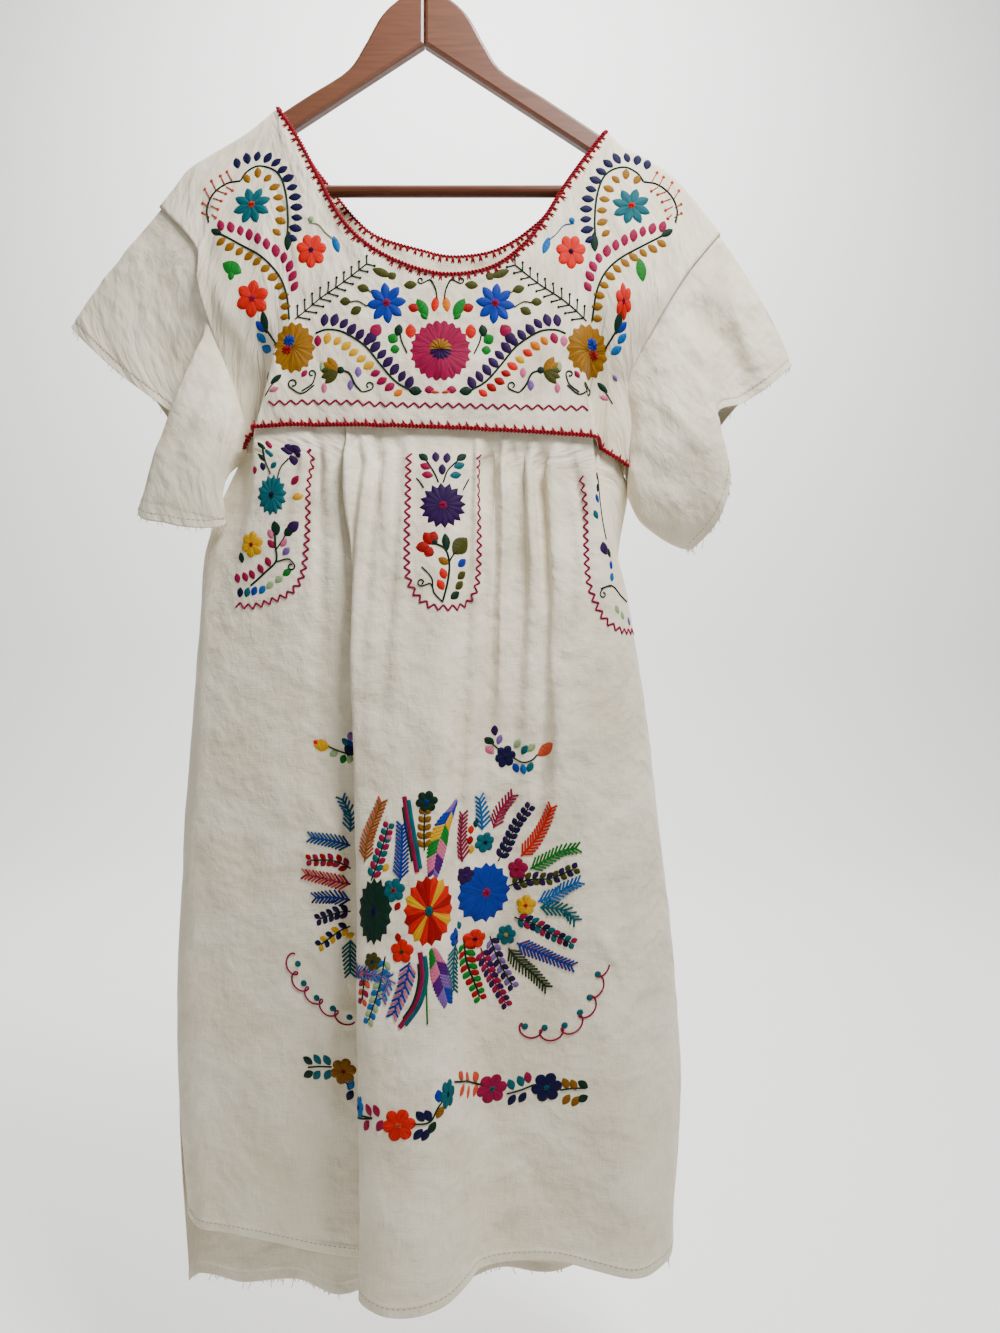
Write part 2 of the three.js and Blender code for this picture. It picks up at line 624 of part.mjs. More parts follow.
// Follows every row down to depth v, then runs through them to the place s across.
function acrossRows(lines, s, v, levelEnds) {
  const values = lines.map((line) => through(LEVELS, line, v));
  return through(rowKeys(lines.length), values, s, levelEnds);
}
function pleatDepth(pleats, x, v) {
  return pleats.reduce((sum, pleat) => {
    const along = v / pleat.reach;
    const fade = Math.max(1 - along, 0) ** PLEAT_FADE;
    const centre = pleat.x + pleat.drift * along;
    const width = pleat.width * (1 + PLEAT_SPREAD * along);
    return sum + pleat.depth * fade * bell(x - centre, width);
  }, 0);
}
const FRONT_TURN = 1 / (FRONT_FOLDS.length - 1);
const BACK_TURN = 0.035;
const frontX = FRONT_FOLDS.map((row) => row.x);
const frontDepth = FRONT_FOLDS.map((row) => row.y);
const UNDER_FIRST = 5 / (FRONT_FOLDS.length - 1);
const UNDER_LAST = 7.4 / (FRONT_FOLDS.length - 1);
const skirtFront = (s, v) => {
  const x = acrossRows(frontX, s, v, true);
  const atYoke = acrossRows(frontX, s, 0, true);
  const under = s > UNDER_FIRST && s < UNDER_LAST;
  const pleats = under ? 0 : pleatDepth(FRONT_PLEATS, x, v);
  const top = skirtTop(FRONT_SEAM, atYoke, s, FRONT_TURN);
  const hem = column(FRONT_HEM, 'x', 'z', x);
  return new THREE.Vector3(
    x,
    acrossRows(frontDepth, s, v) + pleats - SEAM_GAP / 2,
    THREE.MathUtils.lerp(top, hem, v),
  );
};
// Share of the width at s, starting and ending level, so that the cloth turns the corner.
function turnedShare(s, turn) {
  const fromSide = Math.min(s, 1 - s);
  const travelled = fromSide < turn ? fromSide ** 2 / (2 * turn) : fromSide - turn / 2;
  const share = travelled / (1 - turn);
  return s < 0.5 ? share : 1 - share;
}
const backDepth = BACK_FOLDS.map((row) => row.y);
const backKeys = BACK_FOLDS.map((row) => row.across);
const sideLeft = frontX[0];
const sideRight = frontX[frontX.length - 1];
const skirtBack = (s, v) => {
  const left = through(LEVELS, sideLeft, v);
  const right = through(LEVELS, sideRight, v);
  const share = turnedShare(s, BACK_TURN);
  const x = THREE.MathUtils.lerp(left, right, share);
  const atYoke = THREE.MathUtils.lerp(sideLeft[0], sideRight[0], share);
  const y = through(backKeys, backDepth.map((line) => through(LEVELS, line, v)), s)
    + pleatDepth(BACK_PLEATS, x, v) + SEAM_GAP / 2;
  const top = skirtTop(BACK_SEAM, atYoke, s, BACK_TURN);
  return new THREE.Vector3(x, y, THREE.MathUtils.lerp(top, column(BACK_HEM, 'x', 'z', x), v));
};
const SKIRT_DOWN = [0, 0.035, 0.08, 0.13, 0.2, 0.3, 0.42, 0.56, 0.7, 0.85, 1];
add('skirt_front', clothWall(skirtFront, evenly(80), SKIRT_DOWN, 1), muslin());
add('skirt_back', clothWall(skirtBack, evenly(44), SKIRT_DOWN, -1), muslin());

// ---- Sleeves -------------------------------------------------------------------------
// Each row is a line that runs from the armhole over the middle of the sleeve to the cuff,
// going round from the fold at the top, down the front, under the arm and up the back.
// clear is how far the line starts outside the armhole, so that the walls don't cross.
const LEFT_SLEEVE = [
  { name: 'top_fold', round: 0, clear: 0.5, middle: [-291, 0, -316], cuff: [-333, 0, -375] },
  { name: 'wing', round: 0.08, clear: 2.4, middle: [-256, -12, -352], cuff: [-287, -11, -419] },
  { name: 'wing_low', round: 0.15, clear: 2.2, middle: [-226, -11, -388], cuff: [-236, -10, -457] },
  { name: 'valley', round: 0.2, clear: 2.4, middle: [-206, -17, -410], cuff: [-212, -13, -478] },
  { name: 'crest', round: 0.26, clear: 2.4, middle: [-218, -32, -434], cuff: [-259, -29, -549] },
  { name: 'lobe', round: 0.33, clear: 2.4, middle: [-196, -36, -452], cuff: [-230, -41, -565] },
  { name: 'lobe_low', round: 0.42, clear: 3.2, middle: [-180, -35, -490], cuff: [-196, -38, -569] },
  { name: 'underarm', round: 0.5, clear: 3.6, middle: [-180, -25, -524], cuff: [-179, -26, -563] },
  { name: 'back_low', round: 0.58, clear: 3.2, middle: [-186, -5, -500], cuff: [-198, -20, -549] },
  { name: 'back', round: 0.7, clear: 2.0, middle: [-204, 10, -440], cuff: [-218, -4, -500] },
  { name: 'back_high', round: 0.85, clear: 2.8, middle: [-244, 12, -376], cuff: [-268, 4, -427] },
];
const RIGHT_SLEEVE = [
  { name: 'top_fold', round: 0, clear: 0.5, middle: [313, 0, -345], cuff: [345, 0, -411] },
  { name: 'wing', round: 0.07, clear: 1.0, middle: [290, -11, -368], cuff: [322, -9, -432] },
  { name: 'trough', round: 0.13, clear: 1.4, middle: [273, -8, -385], cuff: [298, -3, -447] },
  { name: 'lobe_edge', round: 0.19, clear: 2.2, middle: [254, -26, -403], cuff: [270, -25, -463] },
  { name: 'lobe_high', round: 0.28, clear: 2.4, middle: [243, -38, -455], cuff: [280, -34, -519] },
  { name: 'lobe', round: 0.36, clear: 2.4, middle: [226, -38, -492], cuff: [273, -30, -553] },
  { name: 'lobe_low', round: 0.43, clear: 3, middle: [206, -30, -535], cuff: [260, -20, -575] },
  { name: 'underarm', round: 0.5, clear: 3.4, middle: [200, -16, -560], cuff: [245, -8, -586] },
  { name: 'back_low', round: 0.58, clear: 2.6, middle: [208, 2, -530], cuff: [249, 4, -560] },
  { name: 'back', round: 0.72, clear: 1.6, middle: [240, 14, -460], cuff: [264, 8, -492] },
  { name: 'back_high', round: 0.87, clear: 1.0, middle: [280, 12, -386], cuff: [314, 7, -427] },
];
const UNDERARM_SHARE = 0.03;
const UNDERARM_DROP = 6;
// Point on the armhole: down its front edge, under the arm, and up its back edge.
function armholePoint(armhole, round) {
  const front = round <= 0.5;
  const down = THREE.MathUtils.clamp((front ? round : 1 - round) / (0.5 - UNDERARM_SHARE), 0, 1);
  const x = column(armhole, 'down', 'x', down);
  const z = column(armhole, 'down', 'z', down);
  const corner = front ? frontY(x, z) : backY(x, z);
  const fromUnder = Math.abs(round - 0.5);
  const under = THREE.MathUtils.clamp(1 - fromUnder / UNDERARM_SHARE, 0, 1);
  return new THREE.Vector3(x, corner * (1 - under), z - UNDERARM_DROP * smooth(under));
}
const sleeve = (table, armhole, side) => {
  const rows = table.map((row) => ({
    round: row.round,
    clear: row.clear,
    mx: row.middle[0],
    my: row.middle[1],
    mz: row.middle[2],
    cx: row.cuff[0],
    cy: row.cuff[1],
    cz: row.cuff[2],
  }));
  return (s, t) => {
    const round = ((s % 1) + 1) % 1;
    const seam = armholePoint(armhole, round);
    const at = (name) => ringColumn(rows, 'round', name, round);
    seam.x += side * at('clear');
    const seamWeight = 2 * (t - 0.5) * (t - 1);
    const middleWeight = 4 * t * (1 - t);
    const cuffWeight = 2 * t * (t - 0.5);
    return new THREE.Vector3(
      seamWeight * seam.x + middleWeight * at('mx') + cuffWeight * at('cx'),
      seamWeight * seam.y + middleWeight * at('my') + cuffWeight * at('cy'),
      seamWeight * seam.z + middleWeight * at('mz') + cuffWeight * at('cz'),
    );
  };
};
const SLEEVE_DOWN = [0, 0.1, 0.28, 0.48, 0.68, 0.85, 1];
const sleeveLeft = sleeve(LEFT_SLEEVE, LEFT_ARMHOLE, -1);
const sleeveRight = sleeve(RIGHT_SLEEVE, RIGHT_ARMHOLE, 1);
const SLEEVE_ROUND = evenly(40).slice(0, -1);
add('sleeve_left', clothWall(sleeveLeft, SLEEVE_ROUND, SLEEVE_DOWN, 1, true), muslin());
add('sleeve_right', clothWall(sleeveRight, SLEEVE_ROUND, SLEEVE_DOWN, -1, true), muslin());

export default group;
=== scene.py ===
import math
import bpy
import numpy as np
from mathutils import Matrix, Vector


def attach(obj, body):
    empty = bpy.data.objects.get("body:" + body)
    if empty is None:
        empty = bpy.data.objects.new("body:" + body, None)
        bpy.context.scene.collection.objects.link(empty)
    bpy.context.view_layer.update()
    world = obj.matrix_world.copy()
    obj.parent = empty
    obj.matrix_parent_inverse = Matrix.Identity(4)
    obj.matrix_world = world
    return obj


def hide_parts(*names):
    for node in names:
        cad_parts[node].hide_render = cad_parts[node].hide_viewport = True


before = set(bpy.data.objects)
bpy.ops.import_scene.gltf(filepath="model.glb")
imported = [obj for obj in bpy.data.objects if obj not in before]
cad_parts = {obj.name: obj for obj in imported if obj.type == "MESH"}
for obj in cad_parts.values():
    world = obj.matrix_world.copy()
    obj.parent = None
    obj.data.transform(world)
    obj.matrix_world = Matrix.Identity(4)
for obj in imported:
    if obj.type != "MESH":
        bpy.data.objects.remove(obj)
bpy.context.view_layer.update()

# ---- Room ---------------------------------------------------------------------------------
# A plain pale floor that sweeps up into a backdrop behind the dress, matt as painted card,
# and soft studio light from above and in front.


def node(tree, kind, inputs=None, **settings):
    """Adds one node: settings are its properties, and inputs are numbers and colours to set
    on its sockets, or other nodes' outputs to link to them."""
    made = tree.nodes.new(kind)
    for key, value in settings.items():
        setattr(made, key, value)
    for key, value in (inputs or {}).items():
        socket = made.inputs[key]
        if isinstance(value, bpy.types.NodeSocket):
            tree.links.new(value, socket)
        else:
            socket.default_value = value
    return made


def linear(code):
    """Linear colour of an sRGB hex value: c / 12.92 where dark, else ((c + 0.055) / 1.055) ** 2.4."""
    parts = [int(code[k:k + 2], 16) / 255 for k in (1, 3, 5)]
    return tuple(c / 12.92 if c < 0.04045 else ((c + 0.055) / 1.055) ** 2.4 for c in parts) + (1.0,)


def new_material(name):
    """A new node material, with its tree and its shader."""
    made = bpy.data.materials.new(name)
    made.use_nodes = True
    tree = made.node_tree
    return made, tree, tree.nodes["Principled BSDF"]


def mesh_object(name, points, faces, material):
    """Makes an object of points in millimetres and faces, all kept in metres at the origin."""
    mesh = bpy.data.meshes.new(name)
    mesh.from_pydata((np.asarray(points) / 1000).tolist(), [], np.asarray(faces).tolist())
    mesh.shade_smooth()
    mesh.materials.append(material)
    made = bpy.data.objects.new(name, mesh)
    bpy.context.collection.objects.link(made)
    return made


def grid_quads(across, down, closed=False):
    """Quads of a grid of across by down points, point i * down + j, closed round across or not."""
    i = np.arange(across if closed else across - 1)[:, None]
    j = np.arange(down - 1)[None, :]
    after = (i + 1) % across
    quads = np.stack([i * down + j, i * down + j + 1, after * down + j + 1, after * down + j], -1)
    return quads.reshape(-1, 4)


painted_card, tree, card = new_material("painted_card")
card.inputs["Base Color"].default_value = linear("#F6F6F4")
card.inputs["Roughness"].default_value = 0.9
FLOOR_Z, CARD_FRONT, CARD_BACK, CARD_BEND, CARD_REACH = -1420, -3200, 3400, 800, 4200.0
bend = np.radians(np.linspace(0, 90, 13))
bend_y = CARD_BACK - CARD_BEND + CARD_BEND * np.sin(bend)
bend_z = FLOOR_Z + CARD_BEND - CARD_BEND * np.cos(bend)
sweep_y = np.concatenate([[CARD_FRONT, CARD_BACK - CARD_BEND - 100], bend_y, [CARD_BACK]])
sweep_z = np.concatenate([[FLOOR_Z, FLOOR_Z], bend_z, [CARD_REACH]])
sweep = np.array([[[x, y, z] for y, z in zip(sweep_y, sweep_z)] for x in (-CARD_REACH, CARD_REACH)])
backdrop = mesh_object("backdrop", sweep.reshape(-1, 3), grid_quads(2, len(sweep_y)), painted_card)

world = bpy.data.worlds.new("studio")
bpy.context.scene.world = world
world.use_nodes = True
world.node_tree.nodes["Background"].inputs["Color"].default_value = linear("#F2F1EE")
world.node_tree.nodes["Background"].inputs["Strength"].default_value = 0.2


def softbox(name, place, aim, size, power):
    """A square area light at place, in metres, facing aim."""
    light = bpy.data.lights.new(name, "AREA")
    light.size = size
    light.energy = power
    lamp = bpy.data.objects.new(name, light)
    lamp.location = place
    lamp.rotation_euler = (Vector(aim) - Vector(place)).to_track_quat("-Z", "Y").to_euler()
    bpy.context.collection.objects.link(lamp)


softbox("key_softbox", (0.5, -0.62, 0.5), (0.0, 0.0, -0.35), 0.4, 38)
softbox("fill_softbox", (-1.3, -1.6, 0.3), (0.0, 0.0, -0.3), 1.2, 3)
softbox("backdrop_softbox", (0.0, 1.2, 2.2), (0.0, 3.4, -0.2), 2.4, 260)

camera = bpy.data.cameras.new("camera")
camera.lens = 27.03
camera.sensor_width = 36
camera_object = bpy.data.objects.new("camera", camera)
camera_object.location = (0.0705, -0.941, -0.694)
camera_object.rotation_euler = (math.radians(90), 0, 0)
bpy.context.collection.objects.link(camera_object)
bpy.context.scene.camera = camera_object

# ---- Hanger -------------------------------------------------------------------------------
# Two arms cut from beech, stained red-brown and lacquered, meet in a glued mitre; a turned
# bar of the same wood sits between their ears, and a bent steel wire hook screws into them.
stained_beech, tree, wood = new_material("stained_beech")
place = node(tree, "ShaderNodeTexCoord").outputs["Object"]
# Grain runs along the arms, so it is stretched across the height and the thickness.
along_arm = node(tree, "ShaderNodeMapping", {"Vector": place, "Scale": (26, 26, 260)})
grain = node(tree, "ShaderNodeTexNoise", {"Vector": along_arm.outputs[0], "Scale": 1, "Detail": 4})
tone = node(tree, "ShaderNodeValToRGB", {"Fac": grain.outputs["Fac"]})
tone.color_ramp.elements[0].color = linear("#56301A")
tone.color_ramp.elements[1].color = linear("#693D27")
tone.color_ramp.elements[0].position = 0.3
tone.color_ramp.elements[1].position = 0.75
tree.links.new(tone.outputs["Color"], wood.inputs["Base Color"])
wood.inputs["Roughness"].default_value = 0.42
wood.inputs["Coat Weight"].default_value = 0.15
wood.inputs["Coat Roughness"].default_value = 0.25
pores = node(tree, "ShaderNodeBump", {"Height": grain.outputs["Fac"], "Strength": 0.25, "Distance": 0.0004})
tree.links.new(pores.outputs["Normal"], wood.inputs["Normal"])

plated_steel, tree, plating = new_material("plated_steel")
plating.inputs["Base Color"].default_value = linear("#C9CBCE")
plating.inputs["Metallic"].default_value = 1.0
place = node(tree, "ShaderNodeTexCoord").outputs["Object"]
scuffs = node(tree, "ShaderNodeTexNoise", {"Vector": place, "Scale": 350, "Detail": 3})
gloss = node(tree, "ShaderNodeMapRange", {"Value": scuffs.outputs["Fac"], "To Min": 0.14, "To Max": 0.34})
tree.links.new(gloss.outputs["Result"], plating.inputs["Roughness"])

# The bar took more stain than the arms.
dark_beech = stained_beech.copy()
dark_beech.name = "dark_stained_beech"
stain = next(n for n in dark_beech.node_tree.nodes if n.type == "VALTORGB").color_ramp
stain.elements[0].color = linear("#4A2515")
stain.elements[1].color = linear("#57301F")
dark_wood = dark_beech.node_tree.nodes["Principled BSDF"]
dark_wood.inputs["Coat Weight"].default_value = 0.0
dark_wood.inputs["Specular IOR Level"].default_value = 0.15

for name, timber in (("hanger_arm_left", stained_beech), ("hanger_arm_right", stained_beech),
                     ("hanger_bar", dark_beech)):
    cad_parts[name].data.materials.clear()
    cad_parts[name].data.materials.append(timber)
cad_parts["hanger_hook"].data.materials.clear()
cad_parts["hanger_hook"].data.materials.append(plated_steel)

# ---- Yoke ---------------------------------------------------------------------------------
# Front and back yokes cut from off-white cotton muslin, folded over the hanger's arms. The
# front leans forward as it hangs, and folds in at a soft crease on each side of the chest.


def through(knots, values, at, level_ends=False):
    """Cubic Hermite curve through the knots: each slope is the rise between the two
    neighbouring knots over the distance between them, or level at both ends. values may hold
    a whole row of numbers for each knot."""
    knots = np.asarray(knots, float)
    values = np.asarray(values, float)
    at = np.clip(np.asarray(at, float), knots[0], knots[-1])
    last = len(knots) - 1
    before = np.maximum(np.arange(last + 1) - 1, 0)
    after = np.minimum(np.arange(last + 1) + 1, last)
    more = (1,) * (values.ndim - 1)
    slopes = (values[after] - values[before]) / (knots[after] - knots[before]).reshape((-1,) + more)
    if level_ends:
        slopes[0] = slopes[-1] = 0
    i = np.clip(np.searchsorted(knots, at, side="left") - 1, 0, last - 1)
    span = (knots[i + 1] - knots[i]).reshape(at.shape + more)
    f = (at - knots[i]).reshape(at.shape + more) / span
    return ((2 * f ** 3 - 3 * f ** 2 + 1) * values[i] + (f ** 3 - 2 * f ** 2 + f) * span * slopes[i]
            + (3 * f ** 2 - 2 * f ** 3) * values[i + 1] + (f ** 3 - f ** 2) * span * slopes[i + 1])


def smooth(f):
    """Smoothstep: 3 f^2 - 2 f^3 between 0 and 1."""
    f = np.clip(f, 0, 1)
    return f * f * (3 - 2 * f)


def lerp(a, b, f):
    """Straight mix of a and b."""
    return a + (b - a) * f


# x, lift: height of the cloth's shoulder fold above the hanger's arm line.
SHOULDER = np.array([
    (-262, -24), (-248, -13.3), (-232, -4), (-221, 3.2), (-200, 3), (-175, 0.7), (-160, 0.6),
    (-138, 3.8), (0, 3), (171, 4.2), (185, 0.6), (200, 4), (220, 6), (234, 4.5), (252, -4),
    (277, -18.5), (290, -27)], float)


def shoulder_z(x):
    """Height of the shoulder fold: the arm's straight top, 0.68 down for 1 across and rounded
    at the middle, plus the cloth's wall and the lift."""
    straight = -84.9 - 0.68 * np.hypot(x, 12)
    return straight + 1.8 * math.hypot(1, 0.68) + 0.25 + through(SHOULDER[:, 0], SHOULDER[:, 1], x)


def over_arm(below):
    """How far the cloth stands off the arm's middle: a rounded fold 10 mm deep."""
    return 10 * np.cbrt(1 - (1 - np.clip(below / 10, 0, 1)) ** 3)


def leaning(below, depth, drop):
    """Lean that grows with the drop below the shoulder: depth (1 - e^(-below / drop))."""
    return depth * (1 - np.exp(-np.maximum(below, 0) / drop))


# Each chest crease: x, z of one point, lean, z where it starts and is full, depth, side.
CHEST_CREASES = [(-129, -402.7, 0.29, -345, -450, 26, -1), (139, -398, -0.2, -350, -450, 27, 1)]
# Soft hollows above the gathers: x, top, depth, width.
CHEST_HOLLOWS = [(-97, -385, 2, 8), (60, -420, 1.2, 10), (-40, -415, 2, 9)]


def front_y(x, z):
    """Front of the yoke: over the arm, leaning out, stepping back past each chest crease."""
    below = shoulder_z(x) - z
    y = -over_arm(below) - leaning(below, 41, 230)
    for at_x, at_z, lean, starts, full, depth, side in CHEST_CREASES:
        grown = smooth((starts - z) / (starts - full))
        width = lerp(40, 5, grown)
        y = y + depth * grown * smooth(side * (x - at_x - lean * (z - at_z)) / width)
    for at_x, top, depth, width in CHEST_HOLLOWS:
        y = y + depth * np.exp(-((x - at_x) / width) ** 2) * smooth((top - z) / 50)
    return y


def back_y(x, z):
    """Back of the yoke: over the arm, leaning out 9 mm, with a slow ripple across."""
    below = shoulder_z(x) - z
    return over_arm(below) + leaning(below, 9, 150) + 2 * np.sin(x / 31) * smooth((below - 60) / 120)


# Top edges: share across, x, z. The rows with no z lie on the shoulder fold.
FOLD = None
FRONT_TOP = [
    (0, -248, FOLD), (0.08, -210, FOLD), (0.15, -165, FOLD), (0.2, -138, FOLD), (0.23, -118, -204.9),
    (0.27, -98, -243.5), (0.32, -76, -284.6), (0.38, -49.5, -312.5), (0.45, -10.7, -333.3),
    (0.5, 22.3, -340.5), (0.57, 63, -333.3), (0.63, 92.5, -311.6), (0.68, 112.4, -284.6),
    (0.73, 132.5, -250.9), (0.77, 152.2, -221.6), (0.8, 171, FOLD), (0.86, 205, FOLD),
    (0.93, 240, FOLD), (1, 277, FOLD)]
BACK_TOP = [
    (0, -248, FOLD), (0.08, -210, FOLD), (0.15, -165, FOLD), (0.2, -138, FOLD), (0.25, -117, -206),
    (0.31, -91.8, -239), (0.36, -67, -269.4), (0.4, -46.2, -285.5), (0.46, -6.4, -297),
    (0.51, 25.9, -302.6), (0.57, 68.6, -296), (0.64, 106, -273), (0.7, 134, -241.8),
    (0.75, 154, -215), (0.8, 171, FOLD), (0.86, 205, FOLD), (0.93, 240, FOLD), (1, 277, FOLD)]
# Seams with the skirt: share across, x, z.
FRONT_SEAM = np.array([
    (0, -166, -495), (0.14, -161, -483), (0.22, -158, -479.5), (0.27, -156, -479),
    (0.3, -149, -479), (0.312, -144, -478.8), (0.36, -112, -477), (0.5, 6, -480),
    (0.6, 98, -484), (0.67, 152, -487.5), (0.7, 159, -490), (1, 192, -511)], float)
BACK_SEAM = np.array([(0, -166, -495), (0.5, 10, -488), (1, 192, -511)], float)
# Armholes: share down, x, z.
LEFT_ARMHOLE = np.array([
    (0, -248, -265), (0.2, -209, -309), (0.35, -206, -344), (0.62, -187, -408),
    (0.9, -167, -472), (1, -166, -495)], float)
RIGHT_ARMHOLE = np.array([
    (0, 277, -290), (0.17, 245, -330), (0.38, 214, -380), (0.6, 191, -427),
    (0.8, 194, -465), (1, 192, -511)], float)


def top_edge(table, at):
    """Top edge of a yoke: along the shoulder fold outside the neck points at 0.2 and 0.8,
    and through the neck's rows between them."""
    rows = np.array([(a, x, shoulder_z(np.float64(x)) if z is None else z) for a, x, z in table], float)
    left = rows[rows[:, 0] <= 0.2]
    neck = rows[(rows[:, 0] >= 0.2) & (rows[:, 0] <= 0.8)]
    right = rows[rows[:, 0] >= 0.8]
    inner_x = np.where(at >= 0.8, through(right[:, 0], right[:, 1], at), through(neck[:, 0], neck[:, 1], at))
    x = np.where(at <= 0.2, through(left[:, 0], left[:, 1], at), inner_x)
    z = np.where((at <= 0.2) | (at >= 0.8), shoulder_z(x), through(neck[:, 0], neck[:, 2], at))
    return x, z


def yoke_plan(top_table, seam, s, t):
    """Patch between the top edge and the seam, mixed straight down, with each armhole's bow
    fading out as the ninth power of the distance from it."""
    plan = []
    top = top_edge(top_table, s)
    seam_x = through(seam[:, 0], seam[:, 1], s)
    by_x = np.unique(seam[:, 1], return_index=True)[1]
    bottom = (seam_x, through(seam[by_x, 1], seam[by_x, 2], seam_x))
    for axis in (0, 1):
        bows = [through(hole[:, 0], hole[:, axis + 1], t) - lerp(hole[0, axis + 1], hole[-1, axis + 1], t)
                for hole in (LEFT_ARMHOLE, RIGHT_ARMHOLE)]
        plan.append(lerp(top[axis][:, None], bottom[axis][:, None], t[None, :])
                    + ((1 - s) ** 9)[:, None] * bows[0] + (s ** 9)[:, None] * bows[1])
    return plan


def outward(points, side):
    """Unit normals of a grid of points, turned by side to the outside of the garment."""
    normal = np.cross(np.gradient(points, axis=0), np.gradient(points, axis=1)) * -side
    return normal / np.maximum(np.linalg.norm(normal, axis=-1, keepdims=True), 1e-9)


def creased(across, down, creases):
    """Height of creases at points of the cloth, in mm. Each runs straight from
    one point to another, across, down, across, down, with its height, negative for a trough,
    and its width; it swells from both ends as a sine and falls away on each side as a bell."""
    height = np.zeros(np.shape(across))
    for a0, d0, a1, d1, depth, width in creases:
        length = math.hypot(a1 - a0, d1 - d0)
        ux, uz = (a1 - a0) / length, (d1 - d0) / length
        f = ((across - a0) * ux + (down - d0) * uz) / length
        off = (down - d0) * ux - (across - a0) * uz
        bend = off + 0.06 * length * np.sin(3.1 * f + a0)
        height = height + depth * np.sin(np.pi * np.clip(f, 0, 1)) ** 0.8 * np.exp(-(bend / width) ** 2)
    return height


def rumpled(across, down, seed, size):
    """Slow uneven rumple between -1 and 1: a sum of six crossed sine waves about size long."""
    rng = np.random.default_rng(seed)
    total = 0
    for _ in range(6):
        angle, phase, wave = rng.uniform(0, np.pi), rng.uniform(0, 6.28), size * rng.uniform(0.7, 1.6)
        total = total + np.sin(6.283 / wave * (across * np.cos(angle) + down * np.sin(angle)) + phase)
    return total / 6


def cloth_lengths(points):
    """Distances along the cloth, in mm, from the middle column and from the top row."""
    step_across = np.linalg.norm(np.diff(points, axis=0), axis=-1)
    step_down = np.linalg.norm(np.diff(points, axis=1), axis=-1)
    across = np.concatenate([np.zeros((1, points.shape[1])), np.cumsum(step_across, axis=0)])
    across -= across[points.shape[0] // 2]
    down = np.concatenate([np.zeros((points.shape[0], 1)), np.cumsum(step_down, axis=1)], axis=1)
    return across, down


CLOTH_THICKNESS = 0.7


def cloth(name, points, side, material, closed=False):
    """One sheet of cloth through a grid of points, with a UV map in metres along the cloth,
    facing outwards, and given its thickness inwards."""
    across, down, _ = points.shape
    quads = grid_quads(across, down, closed)
    if side < 0:
        quads = quads[:, ::-1]
    made = mesh_object(name, points.reshape(-1, 3), quads, material)
    lengths = np.stack(cloth_lengths(points), -1).reshape(-1, 2) / 1000
    corners = np.empty(len(made.data.loops), int)
    made.data.loops.foreach_get("vertex_index", corners)
    uv = lengths[corners]
    made.data.uv_layers.new(name="along_cloth").data.foreach_set("uv", uv.ravel())
    wall = made.modifiers.new("thickness", "SOLIDIFY")
    wall.thickness = CLOTH_THICKNESS / 1000
    wall.offset = -1
    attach(made, "root")
    return made


# Unbleached cotton muslin, plain weave: matt, warm white, with slubs and a soft crinkle from
# washing. The weave's noise that gives the threads their bump also scales the colour, 0.88 to
# 1.04: partly the threads' own uneven tone, partly painted shade between them. Threads are
# 0.5 mm apart, drawn 1 mm apart so that they show.
muslin, tree, cotton = new_material("cotton_muslin")
cotton.inputs["Roughness"].default_value = 0.92
cotton.inputs["Sheen Weight"].default_value = 0.25
cotton.inputs["Sheen Roughness"].default_value = 0.6
cotton.inputs["Sheen Tint"].default_value = linear("#FFF8EC")
cotton.inputs["Specular IOR Level"].default_value = 0.2
uv = node(tree, "ShaderNodeUVMap", uv_map="along_cloth").outputs["UV"]
blotch = node(tree, "ShaderNodeTexNoise", {"Vector": uv, "Scale": 14, "Detail": 3})
tint = node(tree, "ShaderNodeValToRGB", {"Fac": blotch.outputs["Fac"]})
tint.color_ramp.elements[0].color = linear("#D9CDB2")
tint.color_ramp.elements[1].color = linear("#EDE4CE")
tint.color_ramp.elements[0].position = 0.3
tint.color_ramp.elements[1].position = 0.7
warp_map = node(tree, "ShaderNodeMapping", {"Vector": uv, "Scale": (1000, 60, 1)})
weft_map = node(tree, "ShaderNodeMapping", {"Vector": uv, "Scale": (60, 1000, 1)})
warp = node(tree, "ShaderNodeTexNoise", {"Vector": warp_map.outputs[0], "Scale": 1, "Detail": 2})
weft = node(tree, "ShaderNodeTexNoise", {"Vector": weft_map.outputs[0], "Scale": 1, "Detail": 2})
threads = node(tree, "ShaderNodeMath", {0: warp.outputs["Fac"], 1: weft.outputs["Fac"]}, operation="ADD")
# Painted shade: the colour is darkened to 0.88 where the weave is low, between threads, and lifted to 1.04
# on them, partly the threads' own tone.
weave_tone_and_shade = node(tree, "ShaderNodeMapRange", {"Value": threads.outputs[0], "From Min": 0.7, "From Max": 1.3,
                                         "To Min": 0.88, "To Max": 1.04})
shade = node(tree, "ShaderNodeVectorMath", {0: tint.outputs["Color"]}, operation="SCALE")
tree.links.new(weave_tone_and_shade.outputs["Result"], shade.inputs["Scale"])
tree.links.new(shade.outputs["Vector"], cotton.inputs["Base Color"])
crinkle_map = node(tree, "ShaderNodeMapping", {"Vector": uv, "Scale": (150, 120, 1)})
crinkle = node(tree, "ShaderNodeTexNoise", {"Vector": crinkle_map.outputs[0], "Scale": 1, "Detail": 3,
                                            "Distortion": 0.3})
soft = node(tree, "ShaderNodeTexNoise", {"Vector": uv, "Scale": 28, "Detail": 2})
weave_bump = node(tree, "ShaderNodeBump", {"Height": threads.outputs[0], "Strength": 0.9,
                                           "Distance": 0.0003})
crinkle_bump = node(tree, "ShaderNodeBump", {"Height": crinkle.outputs["Fac"], "Strength": 0.7,
                                             "Distance": 0.0017, "Normal": weave_bump.outputs["Normal"]})
soft_bump = node(tree, "ShaderNodeBump", {"Height": soft.outputs["Fac"], "Strength": 0.8,
                                          "Distance": 0.008, "Normal": crinkle_bump.outputs["Normal"]})
tree.links.new(soft_bump.outputs["Normal"], cotton.inputs["Normal"])

